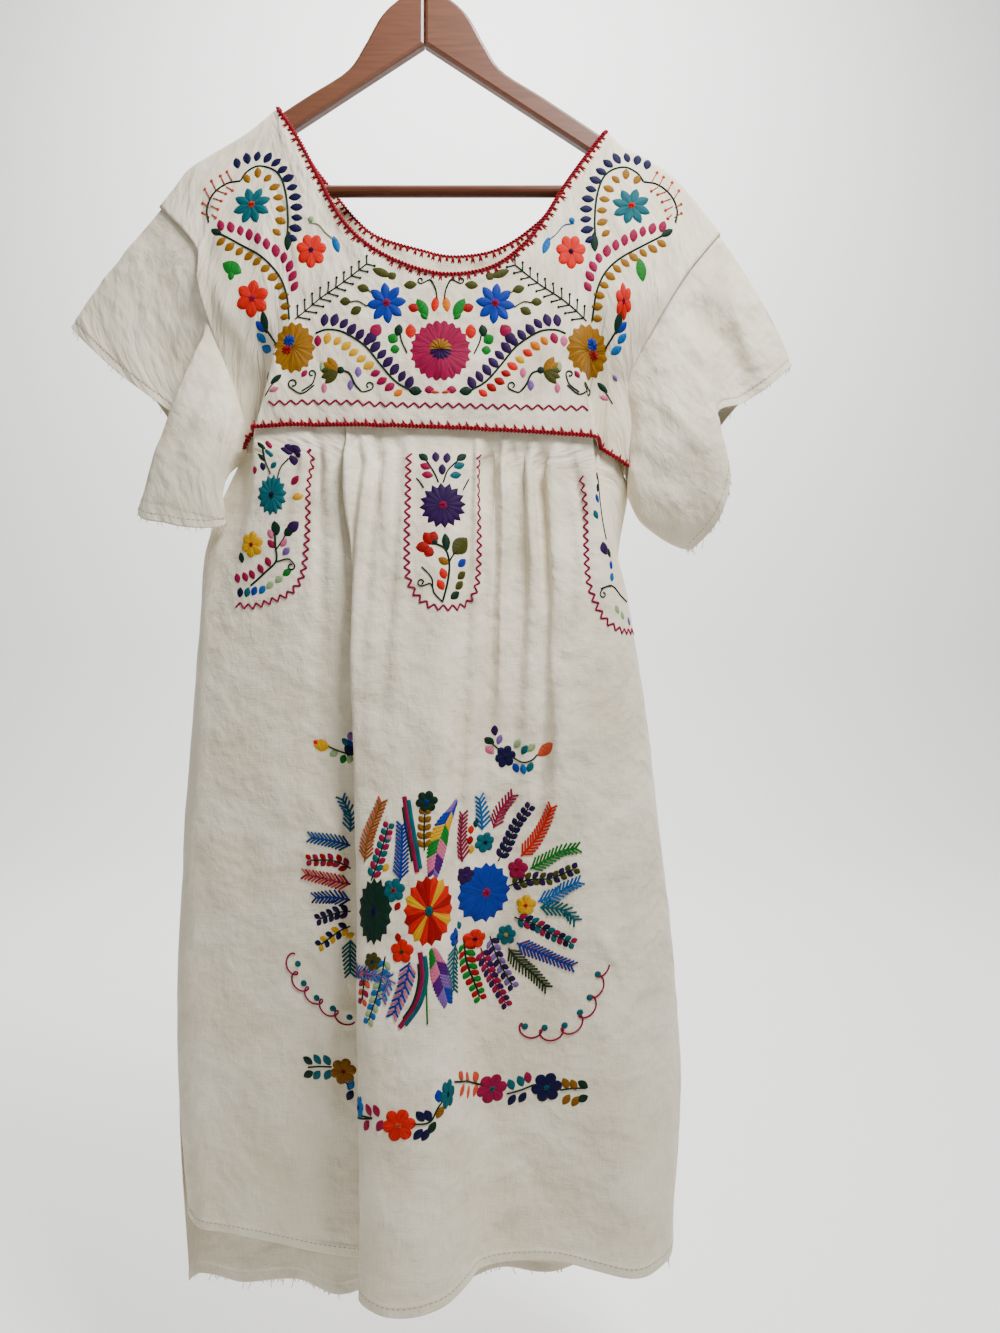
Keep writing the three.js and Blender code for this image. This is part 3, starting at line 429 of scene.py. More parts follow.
# Creases across the front yoke: x, z to x, z, height and width.
FRONT_YOKE_CREASES = [
    (-215, -250, -175, -400, -1.6, 9), (-200, -300, -150, -440, 1.4, 8), (-160, -215, -150, -360, 1.2, 10),
    (-125, -300, -118, -460, -1.2, 8), (-60, -400, -66, -476, 0.9, 5), (-20, -420, -22, -478, -0.9, 5),
    (20, -405, 26, -478, 0.8, 6), (90, -400, 84, -480, -1.0, 6), (118, -380, 112, -482, 1.0, 6),
    (200, -240, 165, -380, 1.4, 10), (225, -300, 178, -420, -1.6, 9), (250, -310, 205, -380, 1.2, 8)]
BACK_YOKE_CREASES = [
    (-190, -260, -150, -420, -1.6, 10), (-110, -300, -90, -460, 1.4, 9), (-30, -330, -26, -480, -1.2, 8),
    (50, -330, 44, -480, 1.2, 8), (120, -300, 108, -470, -1.4, 9), (210, -270, 170, -430, 1.6, 10)]


def yoke_height(x, z, creases):
    """Height of a yoke's creases and of its slow rumple, in mm, at x and z."""
    return 1.5 * creased(x, z, creases) + 0.8 * rumpled(x, z, 3, 26) + 1.4 * rumpled(x, z, 5, 80)


def yoke_points(top_table, seam, depth, creases, side, across=200, down=110):
    """Grid of a yoke: its plan in x and z, closer together near the fold, its depth as y,
    and its creases added outwards, none at the shoulder fold, the neck or the armholes."""
    s = np.linspace(0, 1, across)
    t = np.linspace(0, 1, down) ** 1.6
    x, z = yoke_plan(top_table, seam, s, t)
    points = np.stack([x, depth(x, z), z], -1)
    inner = (np.minimum(s, 1 - s) / 0.03).clip(0, 1)[:, None] * (t / 0.05).clip(0, 1)
    return points + outward(points, side) * (yoke_height(x, z, creases) * inner)[..., None]


front_yoke_points = yoke_points(FRONT_TOP, FRONT_SEAM, front_y, FRONT_YOKE_CREASES, 1)
front_yoke = cloth("front_yoke_cloth", front_yoke_points, 1, muslin)
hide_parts("yoke_front")
back_yoke_points = yoke_points(BACK_TOP, BACK_SEAM, back_y, BACK_YOKE_CREASES, -1)
back_yoke = cloth("back_yoke_cloth", back_yoke_points, -1, muslin)
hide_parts("yoke_back")

# ---- Skirt --------------------------------------------------------------------------------
# One width of the same muslin before and one behind, pleated into the yoke. The front hangs
# in a deep fold that laps over itself left of the middle, and the back drops lower.
LEVELS = np.array([0, 0.09, 0.19, 0.51, 0.78, 1])
# Fold lines of the front from left to right: x at six levels, then y at six levels.
FRONT_FOLDS = np.array([
    (-167, -203, -210, -226, -232, -223, 0, 1, 0, 0, 0, 5),
    (-165, -192, -200, -214, -218, -205, -12, -13, -22, -26, -26, -28),
    (-154, -166, -180, -190, -183, -178, -13, -22, -31, -38, -38, -38),
    (-149, -151, -160, -160, -154, -150, -39, -40, -38, -45, -45, -45),
    (-112, -114, -118, -112, -103, -95, -42, -45, -47, -54, -56, -57),
    (-76, -75, -76, -66, -57, -50, -41, -45, -50, -58, -61, -64),
    (-54, -52, -42, -20, -12, -6, -31, -35, -44, -52, -61, -68),
    (-68, -67, -62, -52, -48, -44, -46, -53, -63, -82, -98, -112),
    (-52, -50, -46, -36, -33, -30, -45, -59, -70, -97, -120, -138),
    (18, 18, 18, 12, 2, -6, -43, -58, -71, -100, -124, -143),
    (50, 50, 48, 40, 31, 24, -43, -55, -66, -90, -113, -132),
    (62, 62, 60, 54, 47, 42, -42, -52, -60, -74, -92, -107),
    (74, 74, 73, 68, 61, 55, -41, -47, -54, -66, -76, -85),
    (96, 97, 99, 98, 91, 86, -42, -49, -58, -70, -74, -77),
    (126, 128, 133, 138, 131, 126, -41, -48, -60, -74, -76, -78),
    (152, 157, 166, 178, 180, 182, -40, -45, -52, -66, -82, -95),
    (158, 165, 183, 208, 219, 214, -14, -24, -32, -42, -50, -72),
    (176, 174, 190, 220, 235, 227, -11, -12, -15, -19, -22, -32),
    (191, 181, 188, 219, 239, 229, 0, 0, 0, 0, 0, 0)], float)
# Pleats: x, depth, width, reach down, drift.
FRONT_PLEATS = [
    (-134, 4, 5, 0.16, -10), (-92, 8, 4.5, 0.5, 2), (-36, 8, 4.5, 0.42, 5), (-16, 5, 4, 0.3, 2),
    (58, 7, 4, 0.34, 4), (83, 6, 5, 0.45, 6), (108, 8, 4.5, 0.6, 10), (132, 5, 4.5, 0.3, 12)]
BACK_PLEATS = [
    (-128, -6, 5, 0.4, -12), (-98, -8, 4.5, 0.5, -8), (-70, -6, 4.5, 0.35, -5), (-30, -8, 5, 0.5, -2),
    (4, -7, 4.5, 0.4, 0), (38, -8, 5, 0.55, 3), (74, -6, 4.5, 0.35, 6), (104, -8, 5, 0.5, 10),
    (140, -6, 5, 0.4, 16)]
# Fold lines of the back: share across, then y at six levels.
BACK_FOLDS = np.array([
    (0, 0, 1, 0, 0, 3, 5), (0.035, 12, 12, 14, 16, 18, 20), (0.12, 17, 19, 22, 23, 21, 20),
    (0.22, 17, 20, 26, 32, 34, 35), (0.32, 17, 19, 22, 20, 17, 14), (0.43, 17, 20, 28, 35, 37, 38),
    (0.54, 17, 19, 24, 24, 21, 18), (0.64, 17, 20, 28, 36, 36, 36), (0.75, 17, 19, 22, 22, 19, 16),
    (0.86, 16, 18, 24, 30, 30, 30), (0.96, 12, 12, 14, 18, 19, 20), (1, 0, 0, 0, 0, 0, 0)], float)
FRONT_HEM = np.array([(-230, -1203), (-150, -1206), (-50, -1212), (0, -1214), (60, -1208),
                      (120, -1207), (190, -1212), (232, -1210)], float)
BACK_HEM = np.array([(-230, -1273), (-168, -1286), (-90, -1293), (0, -1289), (80, -1279),
                     (160, -1265), (232, -1255)], float)


def by_x(table, x, column=1):
    """Looks a table up by x, whichever of its columns x is in."""
    rows = table[np.argsort(table[:, column - 1])]
    return through(rows[:, column - 1], rows[:, column], x)


def skirt_top(seam, x, s, turn):
    """Top edge: along the yoke seam, dipping 22 mm below the armhole at each side."""
    return by_x(seam, x, 2) - 0.5 - 22 * smooth(1 - np.minimum(s, 1 - s) / turn)


def pleated(pleats, x, v):
    """Sum of the pleats: each a bell across that widens and fades away down to its reach."""
    total = np.zeros(x.shape)
    for at_x, depth, width, reach, drift in pleats:
        along = v / reach
        fade = np.maximum(1 - along, 0) ** 1.3 * (0.3 + 0.7 * smooth(v / 0.04))
        total += depth * fade * np.exp(-((x - at_x - drift * along) / (width * (1 + 2 * along))) ** 2)
    return total


def front_skirt_surface(s, v):
    """Front of the skirt: the fold lines followed down, then run through from side to side."""
    keys = np.linspace(0, 1, len(FRONT_FOLDS))
    line_x = through(LEVELS, FRONT_FOLDS[:, :6].T, v).T
    line_y = through(LEVELS, FRONT_FOLDS[:, 6:].T, v).T
    x = through(keys, line_x, s, True)
    at_yoke = through(keys, FRONT_FOLDS[:, 0], s, True)
    under = ((s > 5 / 18) & (s < 7.4 / 18))[:, None]
    y = through(keys, line_y, s) + np.where(under, 0, pleated(FRONT_PLEATS, x, v[None, :]))
    top = skirt_top(FRONT_SEAM, at_yoke, s, 1 / 18)
    # What would stand in front of the yoke is pressed in behind its seam.
    behind = front_y(at_yoke, np.minimum(top, -476))[:, None] + 2.2
    y = y + np.clip(behind - y, 0, 6.5) * (1 - smooth(v / 0.05))
    return np.stack([x, y, lerp(top[:, None], by_x(FRONT_HEM, x), v[None, :])], -1)


def back_skirt_surface(s, v):
    """Back of the skirt: level across between the side seams, standing off by its folds."""
    side = np.minimum(s, 1 - s)
    share = np.where(side < 0.035, side ** 2 / 0.07, side - 0.0175) / 0.965
    share = np.where(s < 0.5, share, 1 - share)
    left = through(LEVELS, FRONT_FOLDS[0, :6], v)
    right = through(LEVELS, FRONT_FOLDS[-1, :6], v)
    x = lerp(left[None, :], right[None, :], share[:, None])
    y = through(BACK_FOLDS[:, 0], through(LEVELS, BACK_FOLDS[:, 1:].T, v).T, s)
    y = y + pleated(BACK_PLEATS, x, v[None, :])
    top = skirt_top(BACK_SEAM, lerp(-167.0, 191.0, share), s, 0.035)
    return np.stack([x, y, lerp(top[:, None], by_x(BACK_HEM, x), v[None, :])], -1)


# Knife pleats: mm across the cloth from its middle, depth, width, reach down, side folded to.
FRONT_KNIVES = [
    (-171, 5, 14, 0.2, -1), (-158, 6, 12, 0.3, -1), (-147, 5, 11, 0.2, -1), (-91, 9, 18, 0.42, -1),
    (-73, 8, 15, 0.6, -1), (-54, 9, 16, 0.36, -1), (-34, 8, 14, 0.42, -1), (31, 8, 13, 0.34, -1),
    (55, 10, 18, 0.8, -1), (67, 7, 11, 0.3, -1), (80, 9, 14, 0.52, -1), (102, 8, 18, 0.6, -1),
    (122, 6, 15, 0.34, 1)]
BACK_KNIVES = [
    (-132, 4, 20, 0.3, -1), (-104, 4.5, 20, 0.4, -1), (-80, 4, 18, 0.26, -1), (-52, 4.5, 20, 0.36, -1),
    (-20, 4, 20, 0.3, -1), (16, 4.5, 20, 0.4, 1), (44, 4, 18, 0.28, 1), (72, 4.5, 20, 0.36, 1),
    (100, 4, 20, 0.3, 1), (130, 4, 20, 0.34, 1)]


def knives(table, across, v):
    """Knife pleats, in mm below the cloth's face: each rises slowly over its width to a crisp
    fold and steps back within 5 mm, from flush at the yoke to nothing at its reach."""
    total = np.zeros(across.shape)
    for at, depth, width, reach, side in table:
        along = v / reach
        off = side * (across - at * (1 + 0.12 * along))
        rise = np.where(off > 0, 1 - smooth(off / (4.5 + 9 * along)), smooth(1 + off / width))
        fade = np.maximum(1 - along, 0) ** 0.9 * smooth(v / 0.02)
        total += depth * fade * (rise * (np.abs(off) < width) - 0.6 * np.exp(-(off / width) ** 2))
    return total


# Creases of the front skirt: mm across the cloth from its middle, z, to the same, height, width.
FRONT_SKIRT_CREASES = [
    (-120, -520, -130, -760, 1.6, 7), (-96, -500, -92, -700, -1.8, 6), (40, -500, 46, -820, 1.6, 7),
    (30, -620, 20, -900, -1.4, 8), (84, -500, 98, -900, 2.0, 8), (112, -520, 128, -860, -2.0, 8),
    (60, -500, 64, -640, -1.6, 5), (-60, -500, -54, -640, 1.4, 5), (10, -500, 8, -620, -1.0, 5),
    (150, -640, 168, -1050, 2.0, 12), (190, -760, 176, -1120, -1.8, 12), (-190, -800, -170, -1120, 1.8, 12),
    (-150, -820, -160, -1000, -1.4, 10), (44, -480, 82, -1110, -8.5, 13), (18, -540, 44, -1130, 3, 24),
    (86, -560, 108, -1080, 3.2, 13), (148, -915, 192, -968, 1.5, 4), (-205, -800, -168, -850, 1.4, 5),
    (-216, -930, -176, -905, -1.4, 6), (-192, -985, -148, -1012, 1.3, 5), (96, -1080, 150, -1190, -1.4, 9)]
BACK_SKIRT_CREASES = [
    (-140, -520, -150, -820, 2.0, 9), (-80, -520, -76, -900, -2.0, 9), (-10, -520, -6, -760, 1.8, 8),
    (60, -520, 66, -880, -1.8, 8), (120, -520, 136, -820, 2.0, 10), (-110, -860, -96, -1220, 1.8, 14),
    (30, -900, 44, -1230, -1.8, 14), (140, -880, 130, -1200, 1.8, 14)]


# Share down the skirt of each row of points, closer together at the hem.
SKIRT_ROWS = np.concatenate([np.linspace(0, 0.984, 116), [0.9868, 0.9876, 0.9885, 0.992, 0.9985, 1]])


def skirt_points(surface, creases, pleats, side, across, seed):
    """Grid of a skirt panel with its pleats and creases added outwards. Its top row is tucked
    up behind the yoke seam, and the last 9 mm are doubled, as a turned hem is."""
    s = np.linspace(0, 1, across)
    v = SKIRT_ROWS
    points = surface(s, v)
    run, _ = cloth_lengths(points)
    run = run - run[across // 2]
    z = points[..., 2]
    inner = (np.minimum(s, 1 - s) / 0.03).clip(0, 1)[:, None] * (v / 0.04).clip(0, 1)
    height = 1.7 * creased(run, z, creases) + 0.8 * rumpled(run, z, seed, 34)
    height = height + 1.8 * rumpled(run, z, seed + 1, 110)
    height = (height + knives(pleats, run, v[None, :])) * inner + 0.5 * smooth((v - 0.9866) / 0.0012)
    points = points + outward(points, side) * height[..., None]
    tuck = points[:, :1] + np.array([0, side * 1.2, 3.5])
    return np.concatenate([tuck, points], axis=1)


front_skirt_points = skirt_points(front_skirt_surface, FRONT_SKIRT_CREASES, FRONT_KNIVES, 1, 396, 11)
front_skirt = cloth("front_skirt_cloth", front_skirt_points, 1, muslin)
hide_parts("skirt_front")
back_skirt_points = skirt_points(back_skirt_surface, BACK_SKIRT_CREASES, BACK_KNIVES, -1, 260, 23)
back_skirt = cloth("back_skirt_cloth", back_skirt_points, -1, muslin)
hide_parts("skirt_back")

# ---- Sleeves ------------------------------------------------------------------------------
# Short straight sleeves set into the armholes, wide enough to fold into a wing above and a
# hanging lobe below, with narrow hems at the cuffs.
# Rows round each sleeve: share round, then x, y, z half way down, and x, y, z at the cuff.
LEFT_SLEEVE = np.array([
    (0, -291, 0, -316, -333, 0, -375), (0.08, -256, -12, -352, -287, -11, -419),
    (0.15, -226, -11, -388, -236, -10, -457), (0.2, -206, -17, -410, -212, -13, -478),
    (0.26, -218, -32, -434, -259, -29, -549), (0.33, -196, -36, -452, -230, -41, -565),
    (0.42, -180, -35, -490, -196, -38, -569), (0.5, -180, -25, -524, -179, -26, -563),
    (0.58, -186, -5, -500, -198, -20, -549), (0.7, -204, 10, -440, -218, -4, -500),
    (0.85, -244, 12, -376, -268, 4, -427)], float)
RIGHT_SLEEVE = np.array([
    (0, 313, 0, -345, 345, 0, -411), (0.07, 290, -11, -368, 322, -9, -432),
    (0.13, 273, -8, -385, 298, -3, -447), (0.19, 254, -26, -403, 270, -25, -463),
    (0.28, 243, -38, -455, 280, -34, -519), (0.36, 226, -38, -492, 273, -30, -553),
    (0.43, 206, -30, -535, 260, -20, -575), (0.5, 200, -16, -560, 245, -8, -586),
    (0.58, 208, 2, -530, 249, 4, -560), (0.72, 240, 14, -460, 264, 8, -492),
    (0.87, 280, 12, -386, 314, 7, -427)], float)


def armhole_ring(hole, s):
    """Armhole's edge: down its front, under the arm over 0.03 of the way round, up its back."""
    front = s <= 0.5
    down = np.clip(np.where(front, s, 1 - s) / 0.47, 0, 1)
    x = through(hole[:, 0], hole[:, 1], down)
    z = through(hole[:, 0], hole[:, 2], down)
    y = np.where(front, front_y(x, z), back_y(x, z))
    under = np.clip(1 - np.abs(s - 0.5) / 0.03, 0, 1)
    return np.stack([x, y * (1 - under), z - 6 * smooth(under)], -1)


def sleeve_points(table, hole, side, creases, across=150, down=60):
    """Grid of a sleeve: round the armhole's edge, then the quadratic curve through the row's
    middle to its cuff. The seam's edge is tucked just inside the yoke's."""
    s = np.arange(across) / across
    t = np.concatenate([np.linspace(0, 0.94, down - 6), [0.948, 0.952, 0.957, 0.975, 0.995, 1]])
    wrapped = np.concatenate([table[-2:] - np.eye(7)[0], table, table[:2] + np.eye(7)[0]])
    row = through(wrapped[:, 0], wrapped[:, 1:], s)
    seam = armhole_ring(hole, s) * [1, 0.9, 1] + [-2.0 * side, 0, -0.6]
    w = np.stack([2 * (t - 0.5) * (t - 1), 4 * t * (1 - t), 2 * t * (t - 0.5)])
    middle, cuff = row[:, None, :3], row[:, None, 3:]
    points = seam[:, None] * w[0][:, None] + middle * w[1][:, None] + cuff * w[2][:, None]
    height = 1.6 * creased(s[:, None] * 620 + 0 * t, t * 170 + 0 * s[:, None], creases)
    height = height + 1.1 * rumpled(points[..., 0], points[..., 2], 31, 32)
    height = height * (t / 0.1).clip(0, 1) + 0.5 * smooth((t - 0.947) / 0.006)
    return points + outward(points, side) * height[..., None]


LEFT_SLEEVE_CREASES = [(40, 10, 60, 150, 1.8, 8), (110, 20, 96, 160, -1.6, 8), (190, 20, 200, 150, 1.8, 9),
                       (250, 10, 262, 150, -1.5, 9), (420, 20, 400, 150, 1.6, 10),
                       (520, 20, 540, 150, -1.6, 10)]
RIGHT_SLEEVE_CREASES = [(30, 10, 50, 150, -1.8, 8), (120, 20, 140, 160, 1.8, 9),
                        (200, 20, 190, 150, -1.6, 9),
                        (260, 10, 250, 150, 1.8, 9), (430, 20, 410, 150, -1.6, 10),
                        (530, 20, 545, 150, 1.6, 10)]
left_sleeve_points = sleeve_points(LEFT_SLEEVE, LEFT_ARMHOLE, -1, LEFT_SLEEVE_CREASES)
right_sleeve_points = sleeve_points(RIGHT_SLEEVE, RIGHT_ARMHOLE, 1, RIGHT_SLEEVE_CREASES)
left_sleeve = cloth("left_sleeve_cloth", left_sleeve_points, 1, muslin, closed=True)
right_sleeve = cloth("right_sleeve_cloth", right_sleeve_points, -1, muslin, closed=True)
for piece, solid in ((left_sleeve, "sleeve_left"), (right_sleeve, "sleeve_right")):
    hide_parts(solid)

# ---- Crochet edging -----------------------------------------------------------------------
# Red cotton thread, crocheted as a thick two-ply cord along the neck's edge and the yoke's
# seams, and caught into the cloth with a long blanket stitch every 5 to 7 mm.
spun_cotton, tree, yarn = new_material("dyed_embroidery_cotton")
# Stranded dyed cotton: each stitch keeps its thread's own colour, with fine lengthwise
# strands and a soft sheen. The strand noise scales that colour from 0.62 to 1.18: painted
# shade between strands, and partly each strand's own tone. Strands are drawn 1 mm apart.
dye = node(tree, "ShaderNodeAttribute", attribute_name="thread_colour")
uv = node(tree, "ShaderNodeUVMap", uv_map="along_thread").outputs["UV"]
strand_map = node(tree, "ShaderNodeMapping", {"Vector": uv, "Scale": (1000, 60, 1)})
strands = node(tree, "ShaderNodeTexNoise", {"Vector": strand_map.outputs[0], "Scale": 1, "Detail": 2})
# Painted shade: the strand noise darkens the thread's colour between strands, and sets each strand's own
# tone.
depth = node(tree, "ShaderNodeMapRange", {"Value": strands.outputs["Fac"], "From Min": 0.35,
                                          "From Max": 0.65,
                                          "To Min": 0.62, "To Max": 1.18})
shade = node(tree, "ShaderNodeVectorMath", {0: dye.outputs["Color"]}, operation="SCALE")
tree.links.new(depth.outputs["Result"], shade.inputs["Scale"])
tree.links.new(shade.outputs["Vector"], yarn.inputs["Base Color"])
yarn.inputs["Roughness"].default_value = 0.62
yarn.inputs["Sheen Weight"].default_value = 0.05
yarn.inputs["Sheen Roughness"].default_value = 0.4
yarn.inputs["Specular IOR Level"].default_value = 0.14
ridge = node(tree, "ShaderNodeBump", {"Height": strands.outputs["Fac"], "Strength": 0.8, "Distance": 0.0006})
tree.links.new(ridge.outputs["Normal"], yarn.inputs["Normal"])


def thread_object(name, points, quads, colours, along, slot):
    """A mesh of thread: quads with a colour for each point and a UV map in metres, across
    the strands and then along them. Colours are deepened, 0.58 c ** 1.25, and go
    1.15 times as far from grey, as dye does in thread that lies close together."""
    made = mesh_object(name, points, quads, spun_cotton)
    deep = 0.58 * np.asarray(colours, float) ** 1.25
    grey = deep[:, :3].mean(axis=1, keepdims=True)
    deep[:, :3] = np.maximum(grey + 1.15 * (deep[:, :3] - grey), 0)
    attribute = made.data.color_attributes.new("thread_colour", "FLOAT_COLOR", "POINT")
    attribute.data.foreach_set("color", np.ascontiguousarray(deep, np.float32).ravel())
    corners = np.empty(len(made.data.loops), int)
    made.data.loops.foreach_get("vertex_index", corners)
    made.data.uv_layers.new(name="along_thread").data.foreach_set("uv", (along[corners] / 1000).ravel())
    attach(made, "root")
    return made


def two_ply(path, radius, pitch, colour):
    """Points, quads, colours and UVs of a cord of two round plies that twist round the path:
    each ply's centre circles it once in a pitch, half a radius out."""
    step = np.linalg.norm(np.diff(path, axis=0), axis=1)
    run = np.concatenate([[0], np.cumsum(step)])
    fine = np.linspace(0, run[-1], int(run[-1] / 0.8))
    turns = max(round(run[-1] / pitch), 1)
    line = np.stack([np.interp(fine, run, path[:, k]) for k in range(3)], -1)
    ahead = np.gradient(line, axis=0)
    ahead /= np.linalg.norm(ahead, axis=1, keepdims=True)
    out = np.cross(ahead, [0, 0, 1.0])
    out += np.array([0, -1e-3, 0])
    out /= np.linalg.norm(out, axis=1, keepdims=True)
    up = np.cross(ahead, out)
    round_angle = np.linspace(0, 2 * np.pi, 7)[:-1]
    parts = []
    for start in (0, np.pi):
        turn = start + 2 * np.pi * turns * fine / run[-1]
        centre = line + 0.48 * radius * (out * np.cos(turn)[:, None] + up * np.sin(turn)[:, None])
        ring = (out[:, None] * np.cos(round_angle)[:, None] + up[:, None] * np.sin(round_angle)[:, None])
        parts.append(centre[:, None] + 0.58 * radius * ring)
    points = np.concatenate([part.reshape(-1, 3) for part in parts])
    quads = grid_quads(len(fine), 6)
    wrap = np.stack([np.arange(len(fine) - 1) * 6 + 5, np.arange(len(fine) - 1) * 6,
                     np.arange(1, len(fine)) * 6, np.arange(1, len(fine)) * 6 + 5], -1)
    quads = np.concatenate([quads, wrap])
    quads = np.concatenate([quads, quads + len(parts[0]) * 6])
    along = np.tile(np.stack([np.broadcast_to(round_angle * 0.6 * radius, (len(fine), 6)).ravel(),
                              np.repeat(fine, 6)], -1), (2, 1))
    colours = np.tile(linear(colour), (len(points), 1))
    return points, quads, colours, along


def edge_frame(points, side, row):
    """Along an edge row of a grid of cloth: its points, the way out of the cloth's face, and
    the way off the edge in the cloth's own plane."""
    line = points[:, row]
    ahead = np.gradient(line, axis=0)
    ahead /= np.linalg.norm(ahead, axis=1, keepdims=True)
    inward = points[:, 2] - points[:, 0] if row == 0 else points[:, -3] - points[:, -1]
    out = np.cross(ahead, inward if row == 0 else -inward) * -side
    out /= np.linalg.norm(out, axis=1, keepdims=True)
    off = np.cross(ahead, out)
    off *= -np.sign((off * inward).sum(1))[:, None]
    return line, out, off


def evenly_along(path, spacing, jitter, seed):
    """Places along a path about spacing apart, each shifted a little: fractional indices."""
    run = np.concatenate([[0], np.cumsum(np.linalg.norm(np.diff(path, axis=0), axis=1))])
    count = int(run[-1] / spacing)
    rng = np.random.default_rng(seed)
    at = (np.arange(count) + 0.5 + rng.uniform(-jitter, jitter, count)) * run[-1] / count
    return np.interp(at, run, np.arange(len(path)))


def pick(array, at):
    """Rows of an array at fractional indices, mixed straight."""
    low = np.clip(np.floor(at).astype(int), 0, len(array) - 2)
    return lerp(array[low], array[low + 1], (at - low)[:, None])


def blanket_stitches(line, out, into, lengths, colour, gauge=1.05):
    """One strand for each stitch, a half-round of half width gauge and pointed at its far end, laid
    from the cord into the cloth along its face."""
    f = np.linspace(0, 1, 6)
    g = np.linspace(-1, 1, 5)
    ahead = np.cross(out, into)
    ahead /= np.linalg.norm(ahead, axis=1, keepdims=True)
    half = gauge * np.array([1, 1, 0.95, 0.85, 0.6, 0.1])
    height = 1.25 * gauge * np.array([0.8, 1, 1, 0.9, 0.5, -0.1])[:, None] * (1 - g ** 2) - 0.15 * gauge
    place = (line[:, None, None] + into[:, None, None] * (lengths[:, None] * f)[:, :, None, None]
             + ahead[:, None, None] * (half[:, None] * g)[None, :, :, None]
             + out[:, None, None] * height[None, :, :, None])
    count = len(line)
    quads = (grid_quads(6, 5)[None] + (np.arange(count) * 30)[:, None, None]).reshape(-1, 4)
    along = np.stack([np.broadcast_to((half[:, None] * g), (count, 6, 5)),
                      lengths[:, None, None] * np.broadcast_to(f[:, None], (count, 6, 5))], -1)
    points = place.reshape(-1, 3)
    return points, quads, np.tile(linear(colour), (len(points), 1)), along.reshape(-1, 2)


def joined(parts):
    """Joins several sets of points, quads, colours and UVs into one."""
    shift = np.cumsum([0] + [len(part[0]) for part in parts[:-1]])
    return (np.concatenate([part[0] for part in parts]),
            np.concatenate([part[1] + k for part, k in zip(parts, shift)]),
            np.concatenate([part[2] for part in parts]), np.concatenate([part[3] for part in parts]))


CROCHET_RED = "#B80B48"
STITCH_RED = "#BE0C4A"
yoke_across = np.linspace(0, 1, 200)
neck = (yoke_across > 0.199) & (yoke_across < 0.803)
neck_lines = []
edging = []
for points, side, seed in ((front_yoke_points, 1, 41), (back_yoke_points, -1, 42)):
    line, out, off = (part[neck] for part in edge_frame(points, side, 0))
    neck_lines.append(line + off * 1.0 + out * 0.2)
    at = evenly_along(line, 6.2, 0.22, seed)
    lengths = 6.0 + 1.6 * np.sin(at * 2.3)
    lean = np.gradient(line, axis=0)
    lean /= np.linalg.norm(lean, axis=1, keepdims=True)
    for splay in (-0.22, 0.2):
        into = -pick(off, at) + splay * pick(lean, at)
        for face, deep in ((out, 0), (-out, 0.7)):
            foot = pick(line + off * 0.6 + face * deep, at)
            edging.append(blanket_stitches(foot, pick(face, at), into, lengths, STITCH_RED))
neck_ring = np.concatenate([neck_lines[0], neck_lines[1][::-1], neck_lines[0][:1]])
edging.append(two_ply(neck_ring, 2.1, 6.5, CROCHET_RED))
neck_edging = thread_object("neck_crochet", *joined(edging), slot="crochet_cord")
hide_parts("neck_edging")

for name, points, side, solid in (("front_seam_crochet", front_yoke_points, 1, "yoke_edging_front"),
                                  ("back_seam_crochet", back_yoke_points, -1, "yoke_edging_back")):
    line, out, off = (part[4:-4] for part in edge_frame(points, side, -1))
    cord_line = line + out * 1.5 - off * 1.0
    at = evenly_along(line, 8.4, 0.12, 43)
    into = -pick(off, at) - 0.12 * pick(np.gradient(line, axis=0), at)
    stitches = blanket_stitches(pick(line + out * 1.3, at), pick(out, at), into,
                                7.2 + 1.0 * np.sin(at * 1.7), STITCH_RED, 1.25)
    seam_edging = thread_object(name, *joined([stitches, two_ply(cord_line, 2.2, 6.5, CROCHET_RED)]),
                                slot="crochet_cord")
    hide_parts(solid)

# ---- Embroidery ---------------------------------------------------------------------------
# Flowers, leaves and stems sewn by hand in stranded cotton: leaves and petals in satin
# stitch, stems in stem stitch, dots in knots. Each stitch is raised about 1 mm off the cloth.
TEAL, ORANGE, MAGENTA, NAVY, GOLD = "#0E7C86", "#EA520C", "#B00A62", "#191A56", "#B0843A"
PURPLE, BLUE, GREEN, DARK_GREEN, OLIVE = "#431A60", "#1F55B4", "#189440", "#0D4432", "#5E5F28"
CORAL, YELLOW, RED, PINK, LAVENDER = "#EA7A62", "#F4C53C", "#B8082E", "#EA93AE", "#9E80BC"
PEACH, PALE_GREEN, SKY, TAN, VIOLET = "#F39B55", "#BCD2A6", "#2D86C4", "#A87B3D", "#6B2C8A"


def patch(sewn, plane, height, across, along, colour):
    """Adds one stitched patch: a grid of places in the pattern's plane, its height above the
    cloth, the run across and along its strands in mm, and its colour, all as arrays."""
    rows, columns = height.shape
    colours = np.broadcast_to(np.asarray(colour, float), (rows, columns, 4)).reshape(-1, 4)
    uv = np.stack([np.broadcast_to(across, (rows, columns)), np.broadcast_to(along, (rows, columns))], -1)
    sewn.append((plane.reshape(-1, 2), height.ravel(), grid_quads(rows, columns), colours,
                 uv.reshape(-1, 2)))


def leaf(sewn, start, end, width, colour, tip=0.75):
    """Satin-stitched leaf from start to end: half width 0.62 width sin(pi f) ** tip, domed
    across, its strands running across."""
    start, end = np.asarray(start, float), np.asarray(end, float)
    start, end = lerp(start, end, -0.07), lerp(start, end, 1.07)
    f = np.linspace(0, 1, 9)[:, None]
    g = np.linspace(-1, 1, 5)[None, :]
    length = np.linalg.norm(end - start)
    ahead = (end - start) / length
    beside = np.array([-ahead[1], ahead[0]])
    half = 0.62 * width * np.sin(np.pi * f) ** tip
    plane = start + ahead * (f * length)[..., None] + beside * (half * g)[..., None]
    height = 1.0 * np.sin(np.pi * f) ** 0.5 * (1 - g ** 2) - 0.2
    patch(sewn, plane, height, f * length + 0.35 * half * g, half * g, linear(colour))


